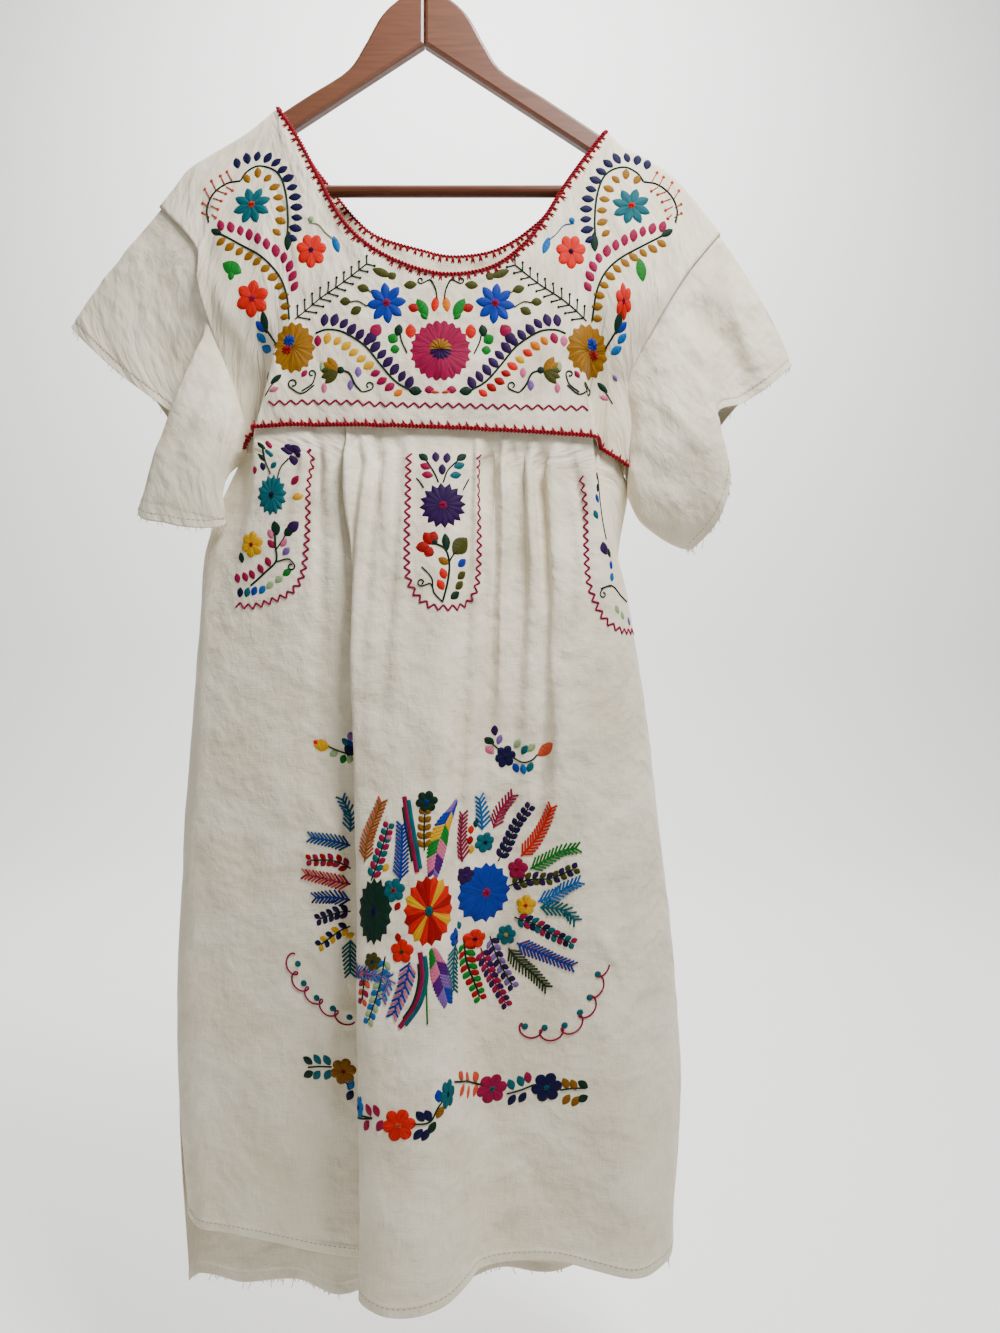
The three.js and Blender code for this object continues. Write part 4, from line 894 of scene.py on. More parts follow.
def spline(points, spacing=2.0):
    """Smooth path through points in the pattern's plane, with places about spacing apart."""
    points = np.asarray(points, float)
    run = np.concatenate([[0], np.cumsum(np.linalg.norm(np.diff(points, axis=0), axis=1))])
    return through(run, points, np.linspace(0, run[-1], max(int(run[-1] / spacing), 2) + 1))


def stem(sewn, points, colour, width=1.6, spacing=2.0):
    """Stem stitch along a smooth path: a half-round strand of even width."""
    line = spline(points, spacing)
    ahead = np.gradient(line, axis=0)
    ahead /= np.maximum(np.linalg.norm(ahead, axis=1, keepdims=True), 1e-9)
    beside = np.stack([-ahead[:, 1], ahead[:, 0]], -1)
    g = 1.25 * np.linspace(-1, 1, 4)
    run = np.arange(len(line))[:, None] * spacing
    plane = line[:, None] + beside[:, None] * (g * width / 2)[:, None]
    height = 1.0 * (1 - (g / 1.25) ** 2)[None, :] - 0.15 + 0 * run
    patch(sewn, plane, height, (g * width / 2)[None, :] + run * 0.25, run, linear(colour))


def strand(sewn, start, end, colour, width=1.1):
    """One straight stitch."""
    stem(sewn, [start, end], colour, width, spacing=np.hypot(end[0] - start[0], end[1] - start[1]) / 2.01)


def knot(sewn, centre, size, colour):
    """French knot: a low dome, size across."""
    angle = np.linspace(0, 2 * np.pi, 9)[:, None]
    r = np.linspace(0, 1, 4)[None, :]
    plane = np.asarray(centre, float) + size / 2 * r[..., None] * np.stack([np.cos(angle), np.sin(angle)],
                                                                           -1)
    patch(sewn, plane, 1.2 * np.sqrt(np.maximum(1 - r ** 2, 0)) - 0.15 + 0 * angle, angle * size / 2,
          r * size, linear(colour))


def disc(sewn, centre, rx, ry, colour, height=1.0, ragged=0, points=16, lower=None):
    """Round of satin stitch on an ellipse rx by ry: its strands run out from the middle to a
    ragged edge of small points. The part below the middle may have a colour of its own."""
    angle = np.linspace(0, 2 * np.pi, 65)[:, None]
    r = np.linspace(0, 1, 6)[None, :]
    edge = 1 - ragged * (0.5 - 0.5 * np.cos(points * angle)) * (r > 0.7)
    rim = np.stack([rx * np.cos(angle), ry * np.sin(angle)], -1)
    plane = np.asarray(centre, float) + (r * edge)[..., None] * rim
    dome = height * np.maximum(1 - r ** 4, 0) * (0.8 + 0.2 * np.cos(points * angle)) - 0.15
    colours = np.broadcast_to(linear(colour), (65, 6, 4))
    if lower:
        colours = np.where((np.sin(angle) < 0)[..., None], linear(lower), colours)
    patch(sewn, plane, dome, angle * (rx + ry) / 3, r * rx, colours)


def flower(sewn, centre, rx, ry, count, colour, heart, heart_size=0.3, turn=0.0, gap=0.62, sharp=0.05,
           shade=None):
    """Flower of count satin-stitched petals on an ellipse: its edge runs from gap to 1 of the
    radius, round at the petals' tips where sharp is 0 and pointed where it is 1, the heart a
    small round of its own colour. The strands run outwards."""
    angle = np.linspace(0, 2 * np.pi, 16 * count + 1)[:, None]
    r = np.linspace(0, 1, 7)[None, :]
    beat = count * (angle - turn) / 2
    lobe = lerp(np.abs(np.cos(beat)) ** 0.6, 1 - np.abs(np.sin(beat)), sharp)
    edge = 1 - 0.78 * (1 - gap) * (1 - lobe)
    reach = 0.15 + r * (edge - 0.15)
    rim = np.stack([rx * np.cos(angle), ry * np.sin(angle)], -1)
    plane = np.asarray(centre, float) + reach[..., None] * rim
    dome = 1.25 * np.sqrt(np.maximum(1 - r ** 6, 0)) * (1 - (1 - max(gap, 0.45)) * (1 - lobe ** 0.7)) - 0.2
    colours = np.broadcast_to(linear(colour), (len(angle), 7, 4))
    if shade:
        petal = np.floor((count * (angle - turn) / (2 * np.pi)) + 0.5).astype(int) % len(shade)
        colours = np.array([linear(c) for c in shade])[petal] * np.ones((1, 7, 1))
    patch(sewn, plane, dome, angle * (rx + ry) / 2.4, r * rx, colours)
    disc(sewn, centre, rx * heart_size, ry * heart_size, heart, height=1.9, points=9)


def leaf_row(sewn, path, count, length, width, lean, colours):
    """Row of leaves with their middles evenly along a path. Each leans from the path by an
    angle in degrees that runs from the first number of lean to the last; colours are shared
    out along the row."""
    line = spline(path, 1.0)
    at = np.linspace(0, len(line) - 1, count)
    middle = pick(line, at)
    ahead = pick(np.gradient(line, axis=0), at)
    heading = np.arctan2(ahead[:, 1], ahead[:, 0]) + np.radians(np.linspace(lean[0], lean[-1], count))
    size = 1 + 0.08 * np.sin(np.arange(count) * 2.4)
    for k in range(count):
        half = 0.56 * length * size[k] * np.array([np.cos(heading[k]), np.sin(heading[k])])
        leaf(sewn, middle[k] - half, middle[k] + half, 1.15 * width * size[k],
             colours[k * len(colours) // count])


def fern(sewn, path, count, length, angle, colours, knots=0.0, width=1.1):
    """Stem with straight stalks on both sides, leaning forward by angle in degrees, each with
    a knot at its end where knots is its size."""
    line = spline(path, 1.0)
    stem(sewn, path, colours[0], width)
    at = np.linspace(0.04 * len(line), len(line) - 1, count)
    foot = pick(line, at)
    ahead = pick(np.gradient(line, axis=0), at)
    heading = np.arctan2(ahead[:, 1], ahead[:, 0])
    for k in range(count):
        reach = length * (1 - 0.35 * k / count)
        for side in (-1, 1):
            way = heading[k] + side * math.radians(angle)
            end = foot[k] + reach * np.array([math.cos(way), math.sin(way)])
            strand(sewn, foot[k], end, colours[(k + (side > 0)) % len(colours)], width)
            if knots:
                knot(sewn, end, knots, colours[(k + (side > 0)) % len(colours)])


def zigzag(sewn, path, pitch, reach, colour, width=1.6):
    """Running zigzag stitch along a path: straight stitches from side to side."""
    line = spline(path, pitch)
    ahead = np.gradient(line, axis=0)
    ahead /= np.linalg.norm(ahead, axis=1, keepdims=True)
    beside = np.stack([-ahead[:, 1], ahead[:, 0]], -1)
    turns = line + beside * (reach * (-1.0) ** np.arange(len(line)))[:, None]
    for k in range(len(line) - 1):
        strand(sewn, turns[k], turns[k + 1], colour, width)


def curl(sewn, start, middle, end, colour, turns=1.1, radius=3.0, left=True, width=1.2):
    """Stem that ends in a little spiral: a smooth path, then a circle that tightens."""
    angle = np.linspace(0, 2 * np.pi * turns, 10)
    way = np.subtract(end, middle)
    heading = math.atan2(way[1], way[0]) + (-1 if left else 1) * math.pi / 2
    sign = 1 if left else -1
    size = radius * (1 - 0.55 * angle / angle[-1])
    hub = np.asarray(end, float) - radius * np.array([math.cos(heading), math.sin(heading)])
    spiral = hub + size[:, None] * np.stack([np.cos(heading + sign * angle),
                                             np.sin(heading + sign * angle)], -1)
    stem(sewn, [start, middle, *spiral], colour, width, spacing=1.3)


def sew(name, sewn, place):
    """Joins what has been sewn and puts it on the cloth: each place plus its normal times
    the stitch's height."""
    plane = np.concatenate([part[0] for part in sewn])
    height = np.concatenate([part[1] for part in sewn])
    shift = np.cumsum([0] + [len(part[0]) for part in sewn[:-1]])
    quads = np.concatenate([part[2] + k for part, k in zip(sewn, shift)])
    ground, normal = place(plane)
    points = ground + normal * (height + 0.25)[:, None]
    return thread_object(name, points, quads, np.concatenate([part[3] for part in sewn]),
                         np.concatenate([part[4] for part in sewn]), slot="embroidery_thread")


def on_front_yoke(plane):
    """Place and normal on the front yoke for x and z, with its creases as the cloth has them."""
    x, z = plane[:, 0], plane[:, 1]
    y = front_y(x, z)
    normal = np.stack([(front_y(x + 0.5, z) - front_y(x - 0.5, z)), np.full(x.shape, -1.0),
                       (front_y(x, z + 0.5) - front_y(x, z - 0.5))], -1)
    normal /= np.linalg.norm(normal, axis=1, keepdims=True)
    height = yoke_height(x, z, FRONT_YOKE_CREASES)
    return np.stack([x, y, z], -1) + normal * height[:, None], normal


YOKE_MIDDLE = 17.1
# One half of the yoke, sewn again in mirror image on the other with some colours changed.
for mirrored in (False, True):
    half = []
    # Heart of one dark stem round a teal flower: knots outside its small lobe, navy leaves
    # outside its large one and gold leaves inside.
    stem(half, [(-198, -285), (-200, -272), (-194, -258), (-182, -248), (-169, -246)], DARK_GREEN)
    stem(half, [(-169, -246), (-163, -237), (-151, -232), (-134, -240), (-126, -259), (-123, -286),
                (-124, -309)], DARK_GREEN)
    leaf(half, (-122, -298), (-123, -315), 6, DARK_GREEN)
    leaf_row(half, [(-173, -228), (-159, -222), (-144, -224), (-132, -234), (-120, -255), (-115, -277),
                    (-116, -295), (-119, -304)],
             13, 9.5, 5.2, (80, 85), [NAVY])
    leaf_row(half, [(-163, -244), (-152, -239), (-143, -245), (-135, -257), (-130, -275), (-130, -288),
                    (-133, -298)],
             8, 8.5, 4.8, (95, 70), [GOLD])
    flower(half, (-157, -271), 18.5, 18.5, 8, TEAL, ORANGE, 0.22, 0.3, 0.45, 0.35)
    for foot, tip in (((-197, -280), (-204, -275)), ((-198, -270), (-204, -266)),
                      ((-197, -262), (-202, -253)),
                      ((-191, -255), (-196, -245)), ((-183, -250), (-188, -240)),
                      ((-176, -247), (-182, -236)),
                      ((-196, -269), (-189, -273)), ((-194, -262), (-186, -265)),
                      ((-190, -255), (-182, -258)),
                      ((-182, -251), (-176, -255)), ((-195, -277), (-191, -281))):
        strand(half, foot, tip, CORAL, 0.9)
        knot(half, tip, 3.2, CORAL)
    # Two rows of leaves along an S-shaped stem, and two orange flowers.
    leaf_row(half, [(-186, -289), (-174, -292), (-163, -297), (-149, -305), (-137, -313), (-127, -321),
                    (-120, -332), (-116, -349)],
             11, 9.5, 5.2, (-60, -45), [MAGENTA])
    stem(half, [(-192, -294), (-171, -306), (-148, -320), (-132, -336), (-124, -354), (-120, -380)],
         DARK_GREEN)
    leaf(half, (-195, -292), (-185, -298), 5.5, DARK_GREEN)
    leaf_row(half, [(-185, -305), (-174, -312), (-161, -318), (-150, -326), (-139, -336), (-130, -349),
                    (-125, -362), (-125, -377)],
             11, 8.5, 5, (65, 88), [GOLD])
    flower(half, (-101, -316), 14, 16.5, 7, ORANGE, PURPLE, 0.22, 0.2)
    if mirrored:
        flower(half, (-149, -361), 8, 17, 6, ORANGE, MAGENTA, 0.24, 0.4, 0.55, 0.25)
        leaf(half, (-164, -321), (-167, -341), 8, GREEN)
    else:
        flower(half, (-155, -359), 15.5, 17, 6, ORANGE, MAGENTA, 0.24, 0.4, 0.55, 0.25)
        leaf(half, (-182, -326), (-166, -335), 11, GREEN)
        leaf(half, (-174, -334), (-175, -342), 5, GREEN)
    # Fern with knotted stalks, and sprays with single leaves and buds.
    fern(half, [(-115, -380), (-94, -362), (-72, -347), (-50, -330)], 10, 11, 52, [DARK_GREEN], 2.6)
    stem(half, [(-104, -289), (-95, -291), (-88, -299), (-80, -306)], PALE_GREEN if not mirrored else SKY,
         0.9)
    knot(half, (-102, -286), 6, PALE_GREEN if not mirrored else SKY)
    leaf(half, (-81, -303), (-76, -318), 5.5, SKY)
    for foot, tip, hue, width in (((-143, -389), (-146, -371), DARK_GREEN, 6),
                                  ((-145, -388), (-152, -379), BLUE, 5.5),
                                  ((-145, -397), (-152, -389), SKY, 5.5),
                                  ((-139, -406), (-148, -400), SKY, 6)):
        leaf(half, foot, tip, width, hue)
    stem(half, [(-144, -385), (-139, -393), (-133, -402)], DARK_GREEN)
    disc(half, (-116, -406), 20, 24, GOLD, 1.2, 0.14, 15)
    disc(half, (-120, -400), 6.5, 7, BLUE, 2.2, 0.08, 9)
    disc(half, (-122, -408), 6, 5.5, RED, 2.1, 0.08, 9)
    leaf(half, (-136, -439), (-127, -431), 4.5, DARK_GREEN)
    stem(half, [(-141, -450), (-137, -443), (-132, -436)], DARK_GREEN, 1.0)
    leaf(half, (-137, -446), (-129, -443), 4, PINK)
    leaf(half, (-108, -433), (-104, -427), 4, MAGENTA)
    leaf(half, (-145, -429), (-141, -424), 3, LAVENDER)
    curl(half, (-97, -440), (-108, -448), (-118, -443), DARK_GREEN, 1.0, 4.5, False)
    curl(half, (-108, -446), (-99, -439), (-96, -431), DARK_GREEN, 0.9, 3.5, True)
    # Blue flower by the neck with olive leaves.
    flower(half, (-32, -366), 18, 19, 8, BLUE, MAGENTA, 0.24, 0.1, 0.45, 0.35)
    for foot, tip in (((-29, -341), (-44, -335)), ((-25, -344), (-29, -338)), ((-16, -350), (-5, -349)),
                      ((-48, -354), (-58, -351)), ((-74, -364), (-65, -364)), ((-64, -375), (-55, -370))):
        leaf(half, foot, tip, 6.5, OLIVE)
    stem(half, [(-66, -365), (-58, -364), (-49, -369)], OLIVE, 0.9)
    stem(half, [(-51, -353), (-47, -355), (-42, -358)], OLIVE, 0.9)
    leaf(half, (-4, -363), (5, -378), 8, GREEN)
    leaf(half, (-12, -369), (-3, -372), 7, RED)
    leaf(half, (-1, -376), (5, -381), 4, GREEN)
    leaf(half, (13, -361), (11, -374), 6, ORANGE if not mirrored else PEACH)
    stem(half, [(14, -363), (12, -352), (7, -344)], DARK_GREEN, 1.1)
    curl(half, (12, -353), (8, -345), (0, -348), DARK_GREEN, 0.9, 3, False, 1.1)
    # Long arch of purple leaves over its stem, with a row in warm colours below.
    leaf_row(half, [(-88, -381), (-79, -381), (-71, -384), (-65, -389), (-57, -394), (-49, -400),
                    (-42, -406),
                    (-35, -414), (-28, -423), (-20, -431), (-11, -439)], 12, 10, 5.4, (80, 105), [PURPLE])
    stem(half, [(-96, -393), (-87, -390), (-74, -391), (-62, -397), (-50, -406), (-38, -421), (-24, -437),
                (-8, -447)],
         DARK_GREEN)
    leaf(half, (-11, -446), (-0, -447), 7, DARK_GREEN)
    row = [PINK, MAGENTA, PEACH, PEACH, ORANGE, YELLOW, ORANGE, RED, RED, RED, ORANGE] if mirrored else \
        [MAGENTA, YELLOW, YELLOW, YELLOW, YELLOW, YELLOW, YELLOW, MAGENTA, MAGENTA, MAGENTA, PEACH]
    leaf_row(half, [(-94, -400), (-86, -398), (-77, -400), (-68, -405), (-59, -413), (-52, -419),
                    (-45, -426),
                    (-35, -438), (-21, -448)], 11, 8.5, 5, (75, 70), row)
    leaf(half, (-45, -396), (-38, -386), 9, MAGENTA)
    leaf(half, (-49, -402), (-42, -393), 8, PURPLE)
    leaf(half, (-30, -396), (-22, -401), 8, GREEN)
    leaf(half, (-28, -409), (-20, -408), 7, GREEN)
    leaf(half, (-22, -396), (-20, -386), 6.5, DARK_GREEN)
    stem(half, [(-20, -391), (-18, -401), (-13, -412)], DARK_GREEN, 1.2)
    leaf(half, (-10, -398), (-10, -386), 8, ORANGE)
    # Small half-open flower under the arch.
    for spread in (-50, -25, 0, 25, 50):
        foot = np.array((-76, -428))
        way = math.radians(175 + spread)
        leaf(half, foot, foot + 15 * np.array([math.cos(way), math.sin(way)]), 6.5,
             GOLD if spread < 0 else OLIVE)
    knot(half, (-73, -427), 7, DARK_GREEN)
    stem(half, [(-72, -427), (-65, -430), (-60, -440), (-55, -446)], DARK_GREEN)
    curl(half, (-57, -444), (-53, -447), (-46, -445), DARK_GREEN, 0.9, 4, True)
    for middle, hue, width in (((-57, -429), LAVENDER if not mirrored else PINK, 5),
                               ((-64, -441), LAVENDER, 5),
                               ((-88, -443), PINK, 4.5), ((-90, -423), PALE_GREEN, 4)):
        leaf(half, (middle[0], middle[1] - 4.5), (middle[0], middle[1] + 4.5), width, hue)
    leaf(half, (3, -446), (11, -445), 6, MAGENTA)
    leaf(half, (8, -447), (16, -448), 2.5, CORAL)
    if mirrored:
        for plane, *_ in half:
            plane[:, 0] = 2 * YOKE_MIDDLE - plane[:, 0]
        for k, (plane, height, quads, colours, uv) in enumerate(half):
            half[k] = (plane, height, quads[:, ::-1], colours, uv)
    else:
        # The middle of the yoke: one large magenta flower, and the zigzag above the seam.
        disc(half, (17, -410), 28, 28.5, MAGENTA, 1.3, 0.12, 22)
        disc(half, (17, -409), 12.5, 12, GOLD, 2.3, 0.06, 14, lower=PURPLE)
        zigzag(half, [(-138, -457), (-92, -456), (-19, -459), (44, -460), (106, -461), (150, -461)], 5.0,
               2.2, MAGENTA)
    sew("right_yoke_embroidery" if mirrored else "left_yoke_embroidery", half, on_front_yoke)

# ---- Skirt embroidery ---------------------------------------------------------------------
# The same stitches on the front of the skirt: three pocket-shaped panels edged in zigzag
# under the yoke, two sprays, a large bouquet of ferns and flowers, and a garland.


def sample(grid, i, j):
    """A grid of values at fractional rows i and columns j, mixed straight both ways."""
    i = np.clip(i, 0, grid.shape[0] - 1.001)
    j = np.clip(j, 0, grid.shape[1] - 1.001)
    i0, j0 = i.astype(int), j.astype(int)
    more = (slice(None),) + (None,) * (grid.ndim - 2)
    fi, fj = (i - i0)[more], (j - j0)[more]
    return lerp(lerp(grid[i0, j0], grid[i0 + 1, j0], fi), lerp(grid[i0, j0 + 1], grid[i0 + 1, j0 + 1], fi),
                fj)


def on_front_skirt(plane):
    """Place and normal on the front skirt for mm across the cloth from its middle and z: the
    column is looked up by its run across the cloth before it was pleated, and the row is
    stepped until z is met."""
    grid = front_skirt_points[:, 1:]
    run = cloth_lengths(front_skirt_surface(np.linspace(0, 1, len(grid)), SKIRT_ROWS))[0]
    spread = np.linspace(run.min(), run.max(), 900)
    columns = np.stack([np.interp(spread, run[:, j], np.arange(len(run))) for j in range(run.shape[1])], 1)
    at = (plane[:, 0] - spread[0]) / (spread[1] - spread[0])
    j = (plane[:, 1] + 480) / -6.3
    for _ in range(6):
        i = sample(columns, at, j)
        found = sample(grid, i, j)
        j = j + (found[:, 2] - plane[:, 1]) / 6.3
    return found, sample(outward(grid, 1), i, j)


def sprig(sewn, path, count, colours, length=8.6, width=3.6, angle=42):
    """Stem with a small leaf on each side at every step, leaning forward by angle."""
    line = spline(path, 1.0)
    stem(sewn, path, colours[0], 1.1)
    foot = pick(line, np.linspace(0.06 * len(line), len(line) - 2, count))
    ahead = pick(np.gradient(line, axis=0), np.linspace(0.06 * len(line), len(line) - 2, count))
    heading = np.arctan2(ahead[:, 1], ahead[:, 0])
    for k in range(count):
        for side in (-1, 1):
            way = heading[k] + side * math.radians(angle)
            step = np.array([math.cos(way), math.sin(way)])
            hue = colours[1 + (k + (side > 0)) % (len(colours) - 1)]
            leaf(sewn, foot[k] + 1.2 * step, foot[k] + length * (1 - 0.25 * k / count) * step, width * 1.15,
                 hue)


def dots(sewn, places, length, width):
    """Single leaves: each a middle, a colour, and its lean in degrees."""
    for middle, hue, lean in places:
        way = math.radians(lean)
        half = length / 2 * np.array([math.cos(way), math.sin(way)])
        leaf(sewn, np.array(middle) - half, np.array(middle) + half, width, hue)


panels = []
# Middle panel.
zigzag(panels, [(-30, -504), (-30, -547), (-30, -601), (-28, -619), (-21, -632), (-10, -641), (2, -643),
                (17, -642), (29, -636), (36, -620), (37, -582), (33, -504)], 4.1, 2.6, MAGENTA)
for path in ([(-3, -531), (-7, -522), (-15, -509)], [(1, -531), (5, -520), (15, -509)]):
    stem(panels, path, DARK_GREEN, 1.2)
dots(panels, [((-17, -507), DARK_GREEN, 145), ((17, -507), DARK_GREEN, 35), ((-6, -507), PURPLE, 95),
              ((4, -508), PURPLE, 85), ((0, -519), PURPLE, 90), ((-15, -516), MAGENTA, 160),
              ((-13, -524), MAGENTA, 170), ((15, -515), TEAL, 20), ((12, -524), TEAL, 10)], 9.5, 5.6)
stem(panels, [(-23, -527), (-20, -530), (-16, -536)], DARK_GREEN, 1.1)
stem(panels, [(24, -527), (22, -531), (19, -537)], DARK_GREEN, 1.1)
flower(panels, (1, -552), 21, 21, 16, PURPLE, MAGENTA, 0.22, 0.1, 0.72, 0.7)
for foot, tip in (((-8, -587), (-15, -577)), ((-9, -586), (-6, -576)), ((-11, -589), (-22, -590)),
                  ((-9, -590), (-13, -598))):
    leaf(panels, foot, tip, 8, RED)
knot(panels, (-6, -585), 6, DARK_GREEN)
stem(panels, [(-6, -586), (3, -591), (7, -603), (6, -620), (2, -638)], DARK_GREEN)
leaf(panels, (5, -592), (3, -578), 6, DARK_GREEN)
leaf(panels, (11, -595), (23, -581), 12.5, OLIVE, 0.85)
stem(panels, [(7, -603), (10, -597), (14, -593)], DARK_GREEN, 1.2)
dots(panels, [((2, -602), TAN, 150), ((2, -613), ORANGE, 110), ((0, -623), ORANGE, 120),
              ((19, -603), BLUE, 40), ((19, -614), OLIVE, 40), ((17, -623), OLIVE, 45),
              ((13, -632), DARK_GREEN, 40)], 9.5, 5.8)
stem(panels, [(2, -638), (-6, -629), (-8, -617), (-17, -607)], DARK_GREEN, 1.1)
curl(panels, (-6, -628), (-9, -622), (-16, -624), DARK_GREEN, 1.0, 3.4, False, 1.1)
# Left panel.
zigzag(panels, [(-164, -498), (-170, -531), (-171, -563), (-174, -590), (-180, -615), (-191, -628),
                (-209, -635),
                (-229, -640), (-245, -638)], 4.1, 2.6, MAGENTA)
stem(panels, [(-202, -496), (-210, -508), (-206, -521)], DARK_GREEN, 1.1)
dots(panels, [((-203, -495), DARK_GREEN, 110), ((-196, -494), MAGENTA, 80), ((-202, -502), TEAL, 70),
              ((-211, -506), DARK_GREEN, 100), ((-203, -513), TEAL, 40), ((-213, -514), NAVY, 100),
              ((-221, -517), MAGENTA, 90)], 7, 4.2)
for foot, tip in (((-182, -502), (-188, -498)), ((-182, -501), (-178, -494)), ((-181, -501), (-171, -496)),
                  ((-184, -504), (-184, -513)), ((-180, -502), (-175, -504))):
    leaf(panels, foot, tip, 6.5, PURPLE)
stem(panels, [(-188, -507), (-196, -515), (-199, -525)], DARK_GREEN, 1.1)
flower(panels, (-204, -540), 14, 19, 14, TEAL, NAVY, 0.24, 0.1, 0.72, 0.7)
dots(panels, [((-183, -527), MAGENTA, 50), ((-180, -542), YELLOW, 10)], 9.5, 5.6)
leaf(panels, (-200, -576), (-202, -564), 7, DARK_GREEN)
stem(panels, [(-202, -570), (-202, -585), (-202, -599), (-213, -609), (-229, -621)], DARK_GREEN)
leaf(panels, (-190, -574), (-180, -565), 8, PURPLE)
leaf(panels, (-193, -576), (-185, -571), 7, DARK_GREEN)
stem(panels, [(-202, -590), (-196, -582), (-191, -575)], DARK_GREEN, 1.1)
flower(panels, (-225, -584), 11.5, 12, 6, YELLOW, RED, 0.24, 0.3)
leaf(panels, (-238, -591), (-236, -600), 5, DARK_GREEN)
dots(panels, [((-206, -575), PINK, 110), ((-206, -584), MAGENTA, 130), ((-194, -583), PINK, 50),
              ((-192, -591), LAVENDER, 40), ((-210, -600), MAGENTA, 110), ((-218, -606), MAGENTA, 115),
              ((-227, -611), MAGENTA, 115), ((-234, -613), MAGENTA, 110), ((-242, -614), MAGENTA, 100),
              ((-193, -610), GREEN, 30), ((-201, -616), PALE_GREEN, 35), ((-210, -621), PALE_GREEN, 40),
              ((-218, -625), SKY, 50), ((-226, -626), BLUE, 60), ((-233, -627), TEAL, 70),
              ((-240, -627), NAVY, 80)], 8.6, 5.2)
curl(panels, (-202, -600), (-190, -598), (-186, -602), DARK_GREEN, 1.0, 3.6, False, 1.2)
# Right panel, most of it turned to the side.
zigzag(panels, [(136, -523), (137, -545), (135, -590), (137, -621), (144, -639), (154, -654), (171, -662),
                (197, -662)], 4.1, 2.6, MAGENTA)
stem(panels, [(158, -523), (159, -542), (159, -561), (158, -580)], DARK_GREEN, 1.1)
dots(panels, [((156, -522), PURPLE, 110), ((154, -533), DARK_GREEN, 70), ((151, -543), BLUE, 110),
              ((147, -558), TEAL, 110), ((162, -603), BLUE, 70), ((161, -614), SKY, 70),
              ((166, -643), PALE_GREEN, 120), ((174, -648), PALE_GREEN, 120), ((188, -653), LAVENDER, 110)],
              8, 5)
leaf(panels, (155, -594), (152, -583), 9, PURPLE)
leaf(panels, (162, -596), (160, -588), 7, DARK_GREEN)
stem(panels, [(148, -625), (160, -622), (174, -630), (187, -635)], DARK_GREEN, 1.3)
curl(panels, (160, -622), (151, -624), (148, -628), DARK_GREEN, 0.9, 3.2, True, 1.1)
sew("panel_embroidery", panels, on_front_skirt)

# Sprays and bouquet.
bouquet = []
leaf(bouquet, (-172, -764), (-185, -764), 9, YELLOW)
leaf(bouquet, (-181, -763), (-185, -760), 4, ORANGE)
stem(bouquet, [(-172, -765), (-163, -769), (-153, -772), (-153, -772)], DARK_GREEN, 1.2)
dots(bouquet, [((-168, -771), PALE_GREEN, 30), ((-156, -761), TEAL, 130), ((-152, -763), BLUE, 110),
               ((-160, -776), GREEN, 60), ((-154, -776), PALE_GREEN, 70), ((-151, -756), LAVENDER, 80)], 8,
               5)
leaf(bouquet, (-154, -774), (-152, -760), 8, NAVY)
flower(bouquet, (68, -773), 9.5, 10, 6, NAVY, PURPLE, 0.26, 0.2)
stem(bouquet, [(52, -757), (56, -762), (63, -767)], DARK_GREEN, 1.2)
stem(bouquet, [(75, -774), (84, -778), (92, -776), (97, -771)], DARK_GREEN, 1.2)
leaf(bouquet, (98, -772), (110, -761), 8, CORAL)
dots(bouquet, [((57, -750), PURPLE, 100), ((53, -759), DARK_GREEN, 150), ((54, -767), PINK, 130),
               ((62, -758), LAVENDER, 70), ((78, -762), PALE_GREEN, 60), ((85, -767), TEAL, 60),
               ((91, -765), PALE_GREEN, 50), ((78, -783), BLUE, 120), ((85, -784), SKY, 110),
               ((91, -782), TEAL, 70)], 8.6, 5.2)
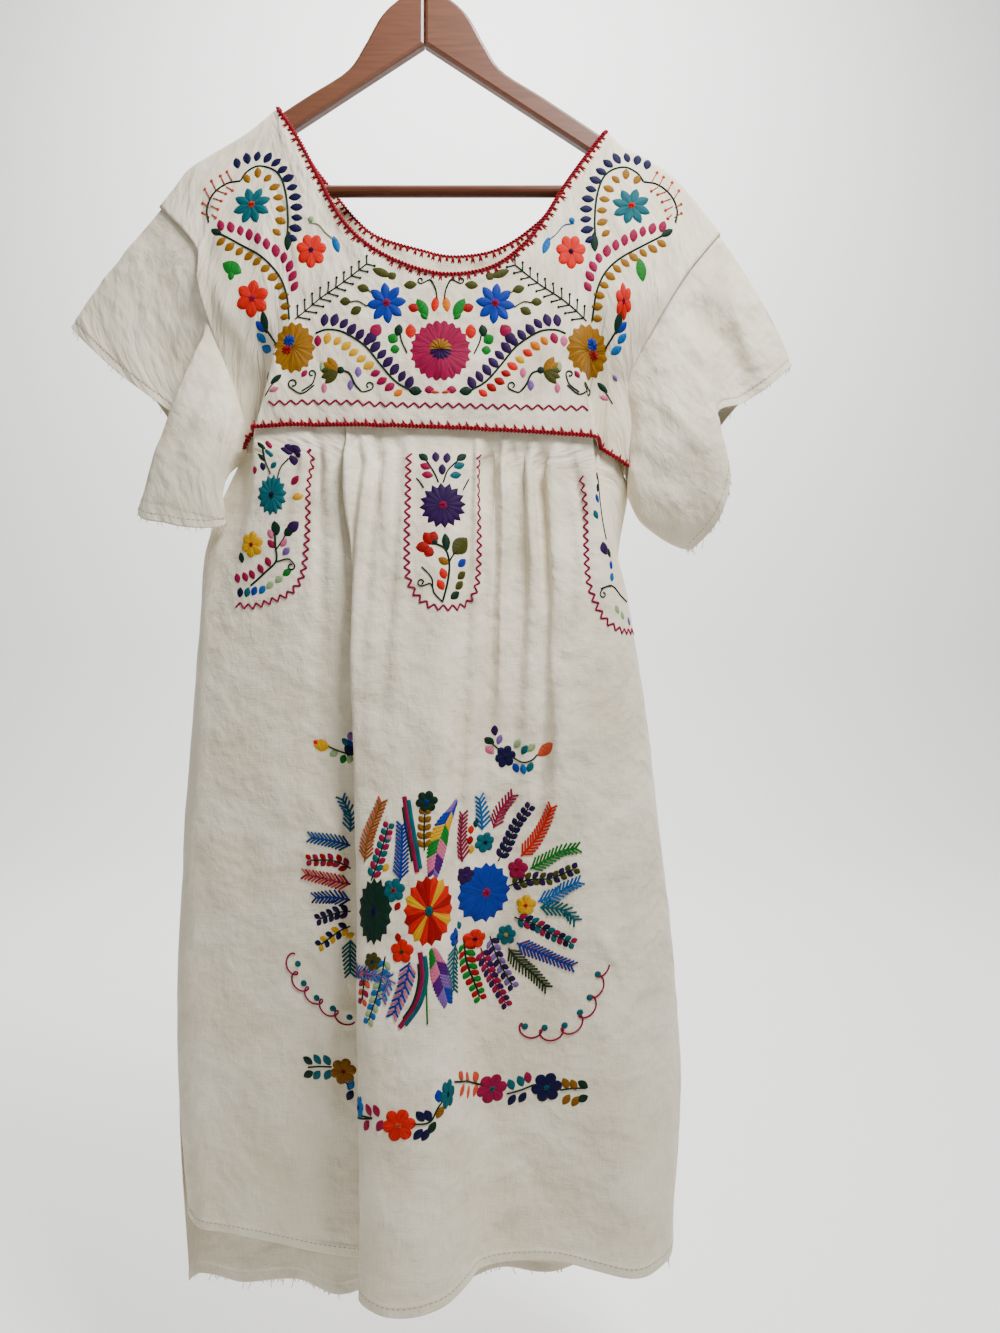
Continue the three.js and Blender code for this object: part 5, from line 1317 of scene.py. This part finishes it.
# Ferns and sprigs that spread from the middle: foot to tip, colours, and how each is worked.
for kind, path, hues in (
        ("sprig", [(-6, -848), (-7, -833), (-7, -818)], [DARK_GREEN, TAN]),
        ("fern", [(38, -862), (34, -845), (33, -823)], [MAGENTA]),
        ("fern", [(52, -836), (51, -823), (48, -810)], [SKY]),
        ("fern", [(62, -835), (67, -821), (76, -808)], [MAGENTA]),
        ("sprig", [(69, -864), (75, -851), (82, -833), (92, -818)], [DARK_GREEN, NAVY, PURPLE]),
        ("fern", [(89, -859), (99, -846), (107, -831), (112, -817)], [ORANGE]),
        ("fern", [(98, -869), (111, -861), (123, -854), (135, -851)], [GREEN]),
        ("sprig", [(80, -885), (99, -878), (117, -877), (135, -869)], [DARK_GREEN, PURPLE, OLIVE]),
        ("fern", [(107, -897), (120, -892), (130, -885), (139, -880)], [SKY]),
        ("fern", [(109, -902), (120, -903), (131, -905), (139, -912)], [TEAL]),
        ("sprig", [(88, -911), (104, -916), (120, -925), (138, -932)], [DARK_GREEN, TEAL, MAGENTA, NAVY]),
        ("fern", [(92, -933), (105, -939), (122, -946), (140, -952)], [BLUE, VIOLET]),
        ("fern", [(85, -938), (96, -950), (108, -960), (120, -971)], [DARK_GREEN, OLIVE]),
        ("sprig", [(67, -928), (77, -949), (91, -969)], [DARK_GREEN, LAVENDER, PURPLE]),
        ("sprig", [(59, -937), (70, -959), (87, -985)], [MAGENTA, MAGENTA, PURPLE]),
        ("sprig", [(47, -929), (53, -954), (64, -979)], [DARK_GREEN, GREEN, RED]),
        ("fern", [(26, -928), (24, -944), (26, -963)], [TEAL]),
        ("fern", [(-13, -938), (-16, -957), (-24, -980)], [BLUE, PINK]),
        ("fern", [(-110, -953), (-31, -952), (-34, -968)], [LAVENDER, SKY]),
        ("sprig", [(-34, -935), (-37, -958), (-45, -987)], [DARK_GREEN, SKY, PALE_GREEN]),
        ("sprig", [(-52, -946), (-52, -960), (-53, -972)], [DARK_GREEN, CORAL, MAGENTA]),
        ("sprig", [(-50, -874), (-45, -858), (-38, -830)], [DARK_GREEN, MAGENTA, TEAL]),
        ("fern", [(-57, -859), (-55, -839), (-45, -810)], [TAN, CORAL]),
        ("fern", [(-25, -873), (-25, -852), (-26, -829)], [BLUE]),
        ("fern", [(-160, -840), (-159, -825), (-164, -812)], [TEAL, SKY]),
        ("fern", [(-161, -852), (-174, -848), (-194, -845)], [BLUE, TEAL]),
        ("sprig", [(-162, -872), (-175, -865), (-197, -865)], [DARK_GREEN, MAGENTA, RED]),
        ("fern", [(-163, -886), (-178, -882), (-202, -878)], [MAGENTA, CORAL]),
        ("fern", [(-164, -900), (-176, -897), (-194, -898)], [BLUE, NAVY]),
        ("sprig", [(-164, -910), (-173, -910), (-192, -917)], [DARK_GREEN, NAVY, PURPLE]),
        ("sprig", [(-165, -923), (-173, -926), (-191, -939)], [DARK_GREEN, NAVY, YELLOW]),
        ("fern", [(-165, -935), (-166, -948), (-166, -963)], [TEAL])):
    span = np.linalg.norm(np.diff(np.array(path, float), axis=0), axis=1).sum()
    if kind == "fern":
        fern(bouquet, path, max(int(span / 3.3), 4), 9.6, 44, hues, 0.0, 1.5)
    else:
        sprig(bouquet, path, max(int(span / 5.4), 3), hues)
# Long blades in three colours side by side.
for path in ([(-25, -804), (-20, -828), (-15, -848), (-11, -866)],
             [(-5, -930), (-2, -951), (-6, -972), (-18, -991)]):
    line = spline(path, 3.0)
    for shift, hue, width, cut in ((-2.6, TEAL, 3.6, 1), (0.2, MAGENTA, 3.4, 0), (2.8, DARK_GREEN, 1.8, 3)):
        stem(bouquet, line[cut:len(line) - cut] + [-shift, 0], hue, width)
# Feathers: short slanting stitches in changing colours on both sides of a middle line.
FEATHER = [LAVENDER, BLUE, YELLOW, GREEN, PINK, VIOLET]
for path, first in (([(25, -809), (11, -826), (5, -844), (2, -866)], 0),
                    ([(4, -927), (9, -941), (15, -958), (20, -972)], 3)):
    line = spline(path, 2.9)
    ahead = np.gradient(line, axis=0)
    ahead /= np.linalg.norm(ahead, axis=1, keepdims=True)
    for k in range(len(line) - 1):
        for side in (-1, 1):
            reach = 8.0 * math.sin(math.pi * (k + 1.5) / (len(line) + 2)) ** 0.7
            tip = line[k] + side * reach * np.array([-ahead[k][1], ahead[k][0]]) + 7.0 * ahead[k]
            leaf(bouquet, line[k], tip, 3.4, FEATHER[(first + k // 4 + (side > 0)) % 6], 0.55)
stem(bouquet, [(1, -946), (2, -964), (4, -988)], GREEN, 1.2)
# Flowers.
flower(bouquet, (-6, -808), 9.5, 9.5, 6, DARK_GREEN, BLUE, 0.28, 0.2)
flower(bouquet, (-46, -899), 16, 28, 16, DARK_GREEN, NAVY, 0.2, 0.1, 0.8, 0.8)
flower(bouquet, (0, -897), 21, 29, 18, ORANGE, TEAL, 0.16, 0.0, 0.84, 0.8,
       shade=[ORANGE, RED, ORANGE, YELLOW, ORANGE, RED, RED, ORANGE, YELLOW])
flower(bouquet, (59, -890), 23, 26, 16, BLUE, MAGENTA, 0.2, 0.1, 0.82, 0.8)
for middle, size, count, hue, heart in (
        ((-30, -881), 10, 6, TEAL, RED), ((-20, -930), 10, 5, ORANGE, OLIVE), ((55, -847), 9, 6, TEAL, NAVY),
        ((87, -870), 9.5, 5, MAGENTA, RED), ((97, -900), 9, 5, YELLOW, ORANGE),
        ((82, -927), 9, 6, TEAL, YELLOW),
        ((54, -929), 8.5, 5, ORANGE, PURPLE), ((26, -922), 7.5, 5, BLUE, NAVY),
        ((41, -874), 8, 6, PURPLE, VIOLET),
        ((-45, -940), 8, 6, OLIVE, PURPLE)):
    flower(bouquet, middle, size, size, count, hue, heart, 0.26, 0.3)
dots(bouquet, [((-26, -894), RED, 60), ((-24, -919), RED, 100), ((42, -835), ORANGE, 90),
               ((42, -844), RED, 90), ((44, -852), YELLOW, 90), ((46, -830), DARK_GREEN, 90),
               ((41, -916), TEAL, 120), ((-37, -839), PINK, 70), ((-165, -931), YELLOW, 20),
               ((-38, -863), YELLOW, 60)], 7, 4.4)
sew("bouquet_embroidery", bouquet, on_front_skirt)

# Looping lines with dots, and the garland above the hem.
garland = []
for path, loops, spots in (
        ([(-220, -949), (-217, -968), (-206, -981), (-191, -992), (-179, -1000), (-167, -1006)], 5,
         ((-213, -957), (-208, -974), (-196, -986), (-181, -994), (-167, -1002))),
        ([(98, -1006), (114, -1012), (130, -1013), (147, -1006), (159, -991), (165, -972), (169, -952)], 6,
         ((106, -1006), (123, -1007), (140, -1004), (152, -993), (159, -980), (164, -960)))):
    line = spline(path, 1.2)
    turn = 2 * np.pi * loops * np.linspace(0, 1, len(line))
    stem(garland, line + 4.6 * np.stack([np.cos(turn), np.sin(turn)], -1), MAGENTA, 1.3, spacing=1.5)
    for spot in spots:
        knot(garland, spot, 6, TEAL)
for path in ([(-206, -1048), (-194, -1046), (-184, -1046)], [(-179, -1056), (-171, -1061), (-169, -1066)],
             [(-50, -1066), (-38, -1065), (-140, -1092)], [(-3, -1066), (11, -1065), (17, -1055),
                                                           (24, -1047)],
             [(31, -1038), (50, -1044), (74, -1055)], [(96, -1064), (107, -1061), (119, -1056)],
             [(142, -1060), (154, -1058), (164, -1057)]):
    stem(garland, path, DARK_GREEN, 1.3)
dots(garland, [((-206, -1042), DARK_GREEN, 150), ((-206, -1054), DARK_GREEN, 30),
               ((-197, -1040), TEAL, 130), ((-198, -1054), TEAL, 50), ((-188, -1040), TEAL, 120),
               ((-188, -1053), TEAL, 60), ((-42, -1059), MAGENTA, 120), ((-34, -1058), MAGENTA, 120),
               ((-44, -1072), MAGENTA, 60), ((-79, -1085), MAGENTA, 60), ((-30, -1069), MAGENTA, 60),
               ((3, -1060), NAVY, 130), ((9, -1060), NAVY, 120), ((2, -1074), NAVY, 50),
               ((8, -1075), NAVY, 60), ((13, -1070), DARK_GREEN, 60), ((17, -1046), BLUE, 100),
               ((19, -1059), TAN, 60), ((40, -1036), CORAL, 130), ((53, -1042), CORAL, 120),
               ((68, -1047), CORAL, 110), ((42, -1048), CORAL, 50), ((54, -1054), CORAL, 60),
               ((68, -1058), CORAL, 60), ((99, -1056), TEAL, 120), ((107, -1053), TEAL, 120),
               ((113, -1050), MAGENTA, 110), ((101, -1069), NAVY, 60), ((110, -1067), NAVY, 60),
               ((146, -1054), TAN, 120), ((153, -1055), TAN, 120), ((148, -1068), TAN, 60),
               ((156, -1069), TAN, 60), ((161, -1054), DARK_GREEN, 150), ((162, -1066), DARK_GREEN, 30),
               ((-168, -1062), SKY, 60), ((-169, -1071), NAVY, 60)], 9.5, 5.6)
for middle, rx, ry, hue, heart in (((-174, -1050), 11, 11, TAN, RED), ((-14, -1067), 13, 12, ORANGE, CORAL),
                                   ((25, -1046), 6.5, 11, TEAL, DARK_GREEN),
                                   ((83, -1059), 12, 12, MAGENTA, TEAL),
                                   ((130, -1058), 12.5, 12, NAVY, TEAL), ((-53, -1060), 5, 9, SKY, NAVY)):
    flower(garland, middle, rx * 1.08, ry * 1.08, 6, hue, heart, 0.24, 0.2)
sew("garland_embroidery", garland, on_front_skirt)

# ---- Hems ---------------------------------------------------------------------------------
# Narrow hems turned in and sewn down by machine in off-white thread. The back hem and the
# cuffs are frayed, and short loose threads hang from them.


LOOSE_THREAD = "#EDE7D8"
MACHINE_THREAD = "#E9E2D0"
HEM_HEIGHT = 7.2
STITCH_PITCH = 4.4
STITCH_LENGTH = 3.2


def hem_line(points, side, above):
    """Line along the cloth above mm from its bottom edge, and the way out of its face."""
    _, down = cloth_lengths(points)
    left = down[:, -1:] - down
    row = np.array([np.interp(-above, -own, np.arange(points.shape[1])) for own in left])
    column = np.arange(len(points), dtype=float)
    return sample(points, column, row), sample(outward(points, side), column, row)


def frayed(points, side, count, seed, reach=4.0):
    """Loose threads at a bottom edge: each curves out and hangs, most a few mm long."""
    rng = np.random.default_rng(seed)
    line, out = points[:, -1], outward(points, side)[:, -1]
    at = rng.uniform(2, len(line) - 3, count)
    f = np.linspace(0, 1, 7)[:, None]
    threads = []
    for foot, way in zip(pick(line, at), pick(out, at)):
        length = reach * rng.uniform(0.5, 1.2) * (2.2 if rng.uniform() < 0.1 else 1)
        sway = np.array([rng.uniform(-1, 1), 0, 0]) + way * rng.uniform(-0.2, 0.6)
        path = foot + 0.45 * length * sway * f ** 2 - length * f * np.array([0, 0, 1.0]) + [0, 0, 1.0]
        threads.append(two_ply(path, 0.4, 3.0, LOOSE_THREAD))
    return threads


for name, points, side in (("front_hem_stitches", front_skirt_points, 1),
                           ("back_hem_stitches", back_skirt_points, -1),
                           ("left_cuff_stitches", left_sleeve_points, 1),
                           ("right_cuff_stitches", right_sleeve_points, -1)):
    line, out = hem_line(points, side, HEM_HEIGHT)
    at = evenly_along(line, STITCH_PITCH, 0.04, 51)
    ahead = np.gradient(line, axis=0)
    ahead /= np.linalg.norm(ahead, axis=1, keepdims=True)
    lengths = np.full(at.shape, STITCH_LENGTH)
    sewing = [blanket_stitches(pick(line, at), pick(out, at), pick(ahead, at), lengths, MACHINE_THREAD, 0.4)]
    if side < 0 or "cuff" in name:
        sewing += frayed(points, side, 120 if "back" in name else 70, 52)
    thread_object(name, *joined(sewing), slot="embroidery_thread")
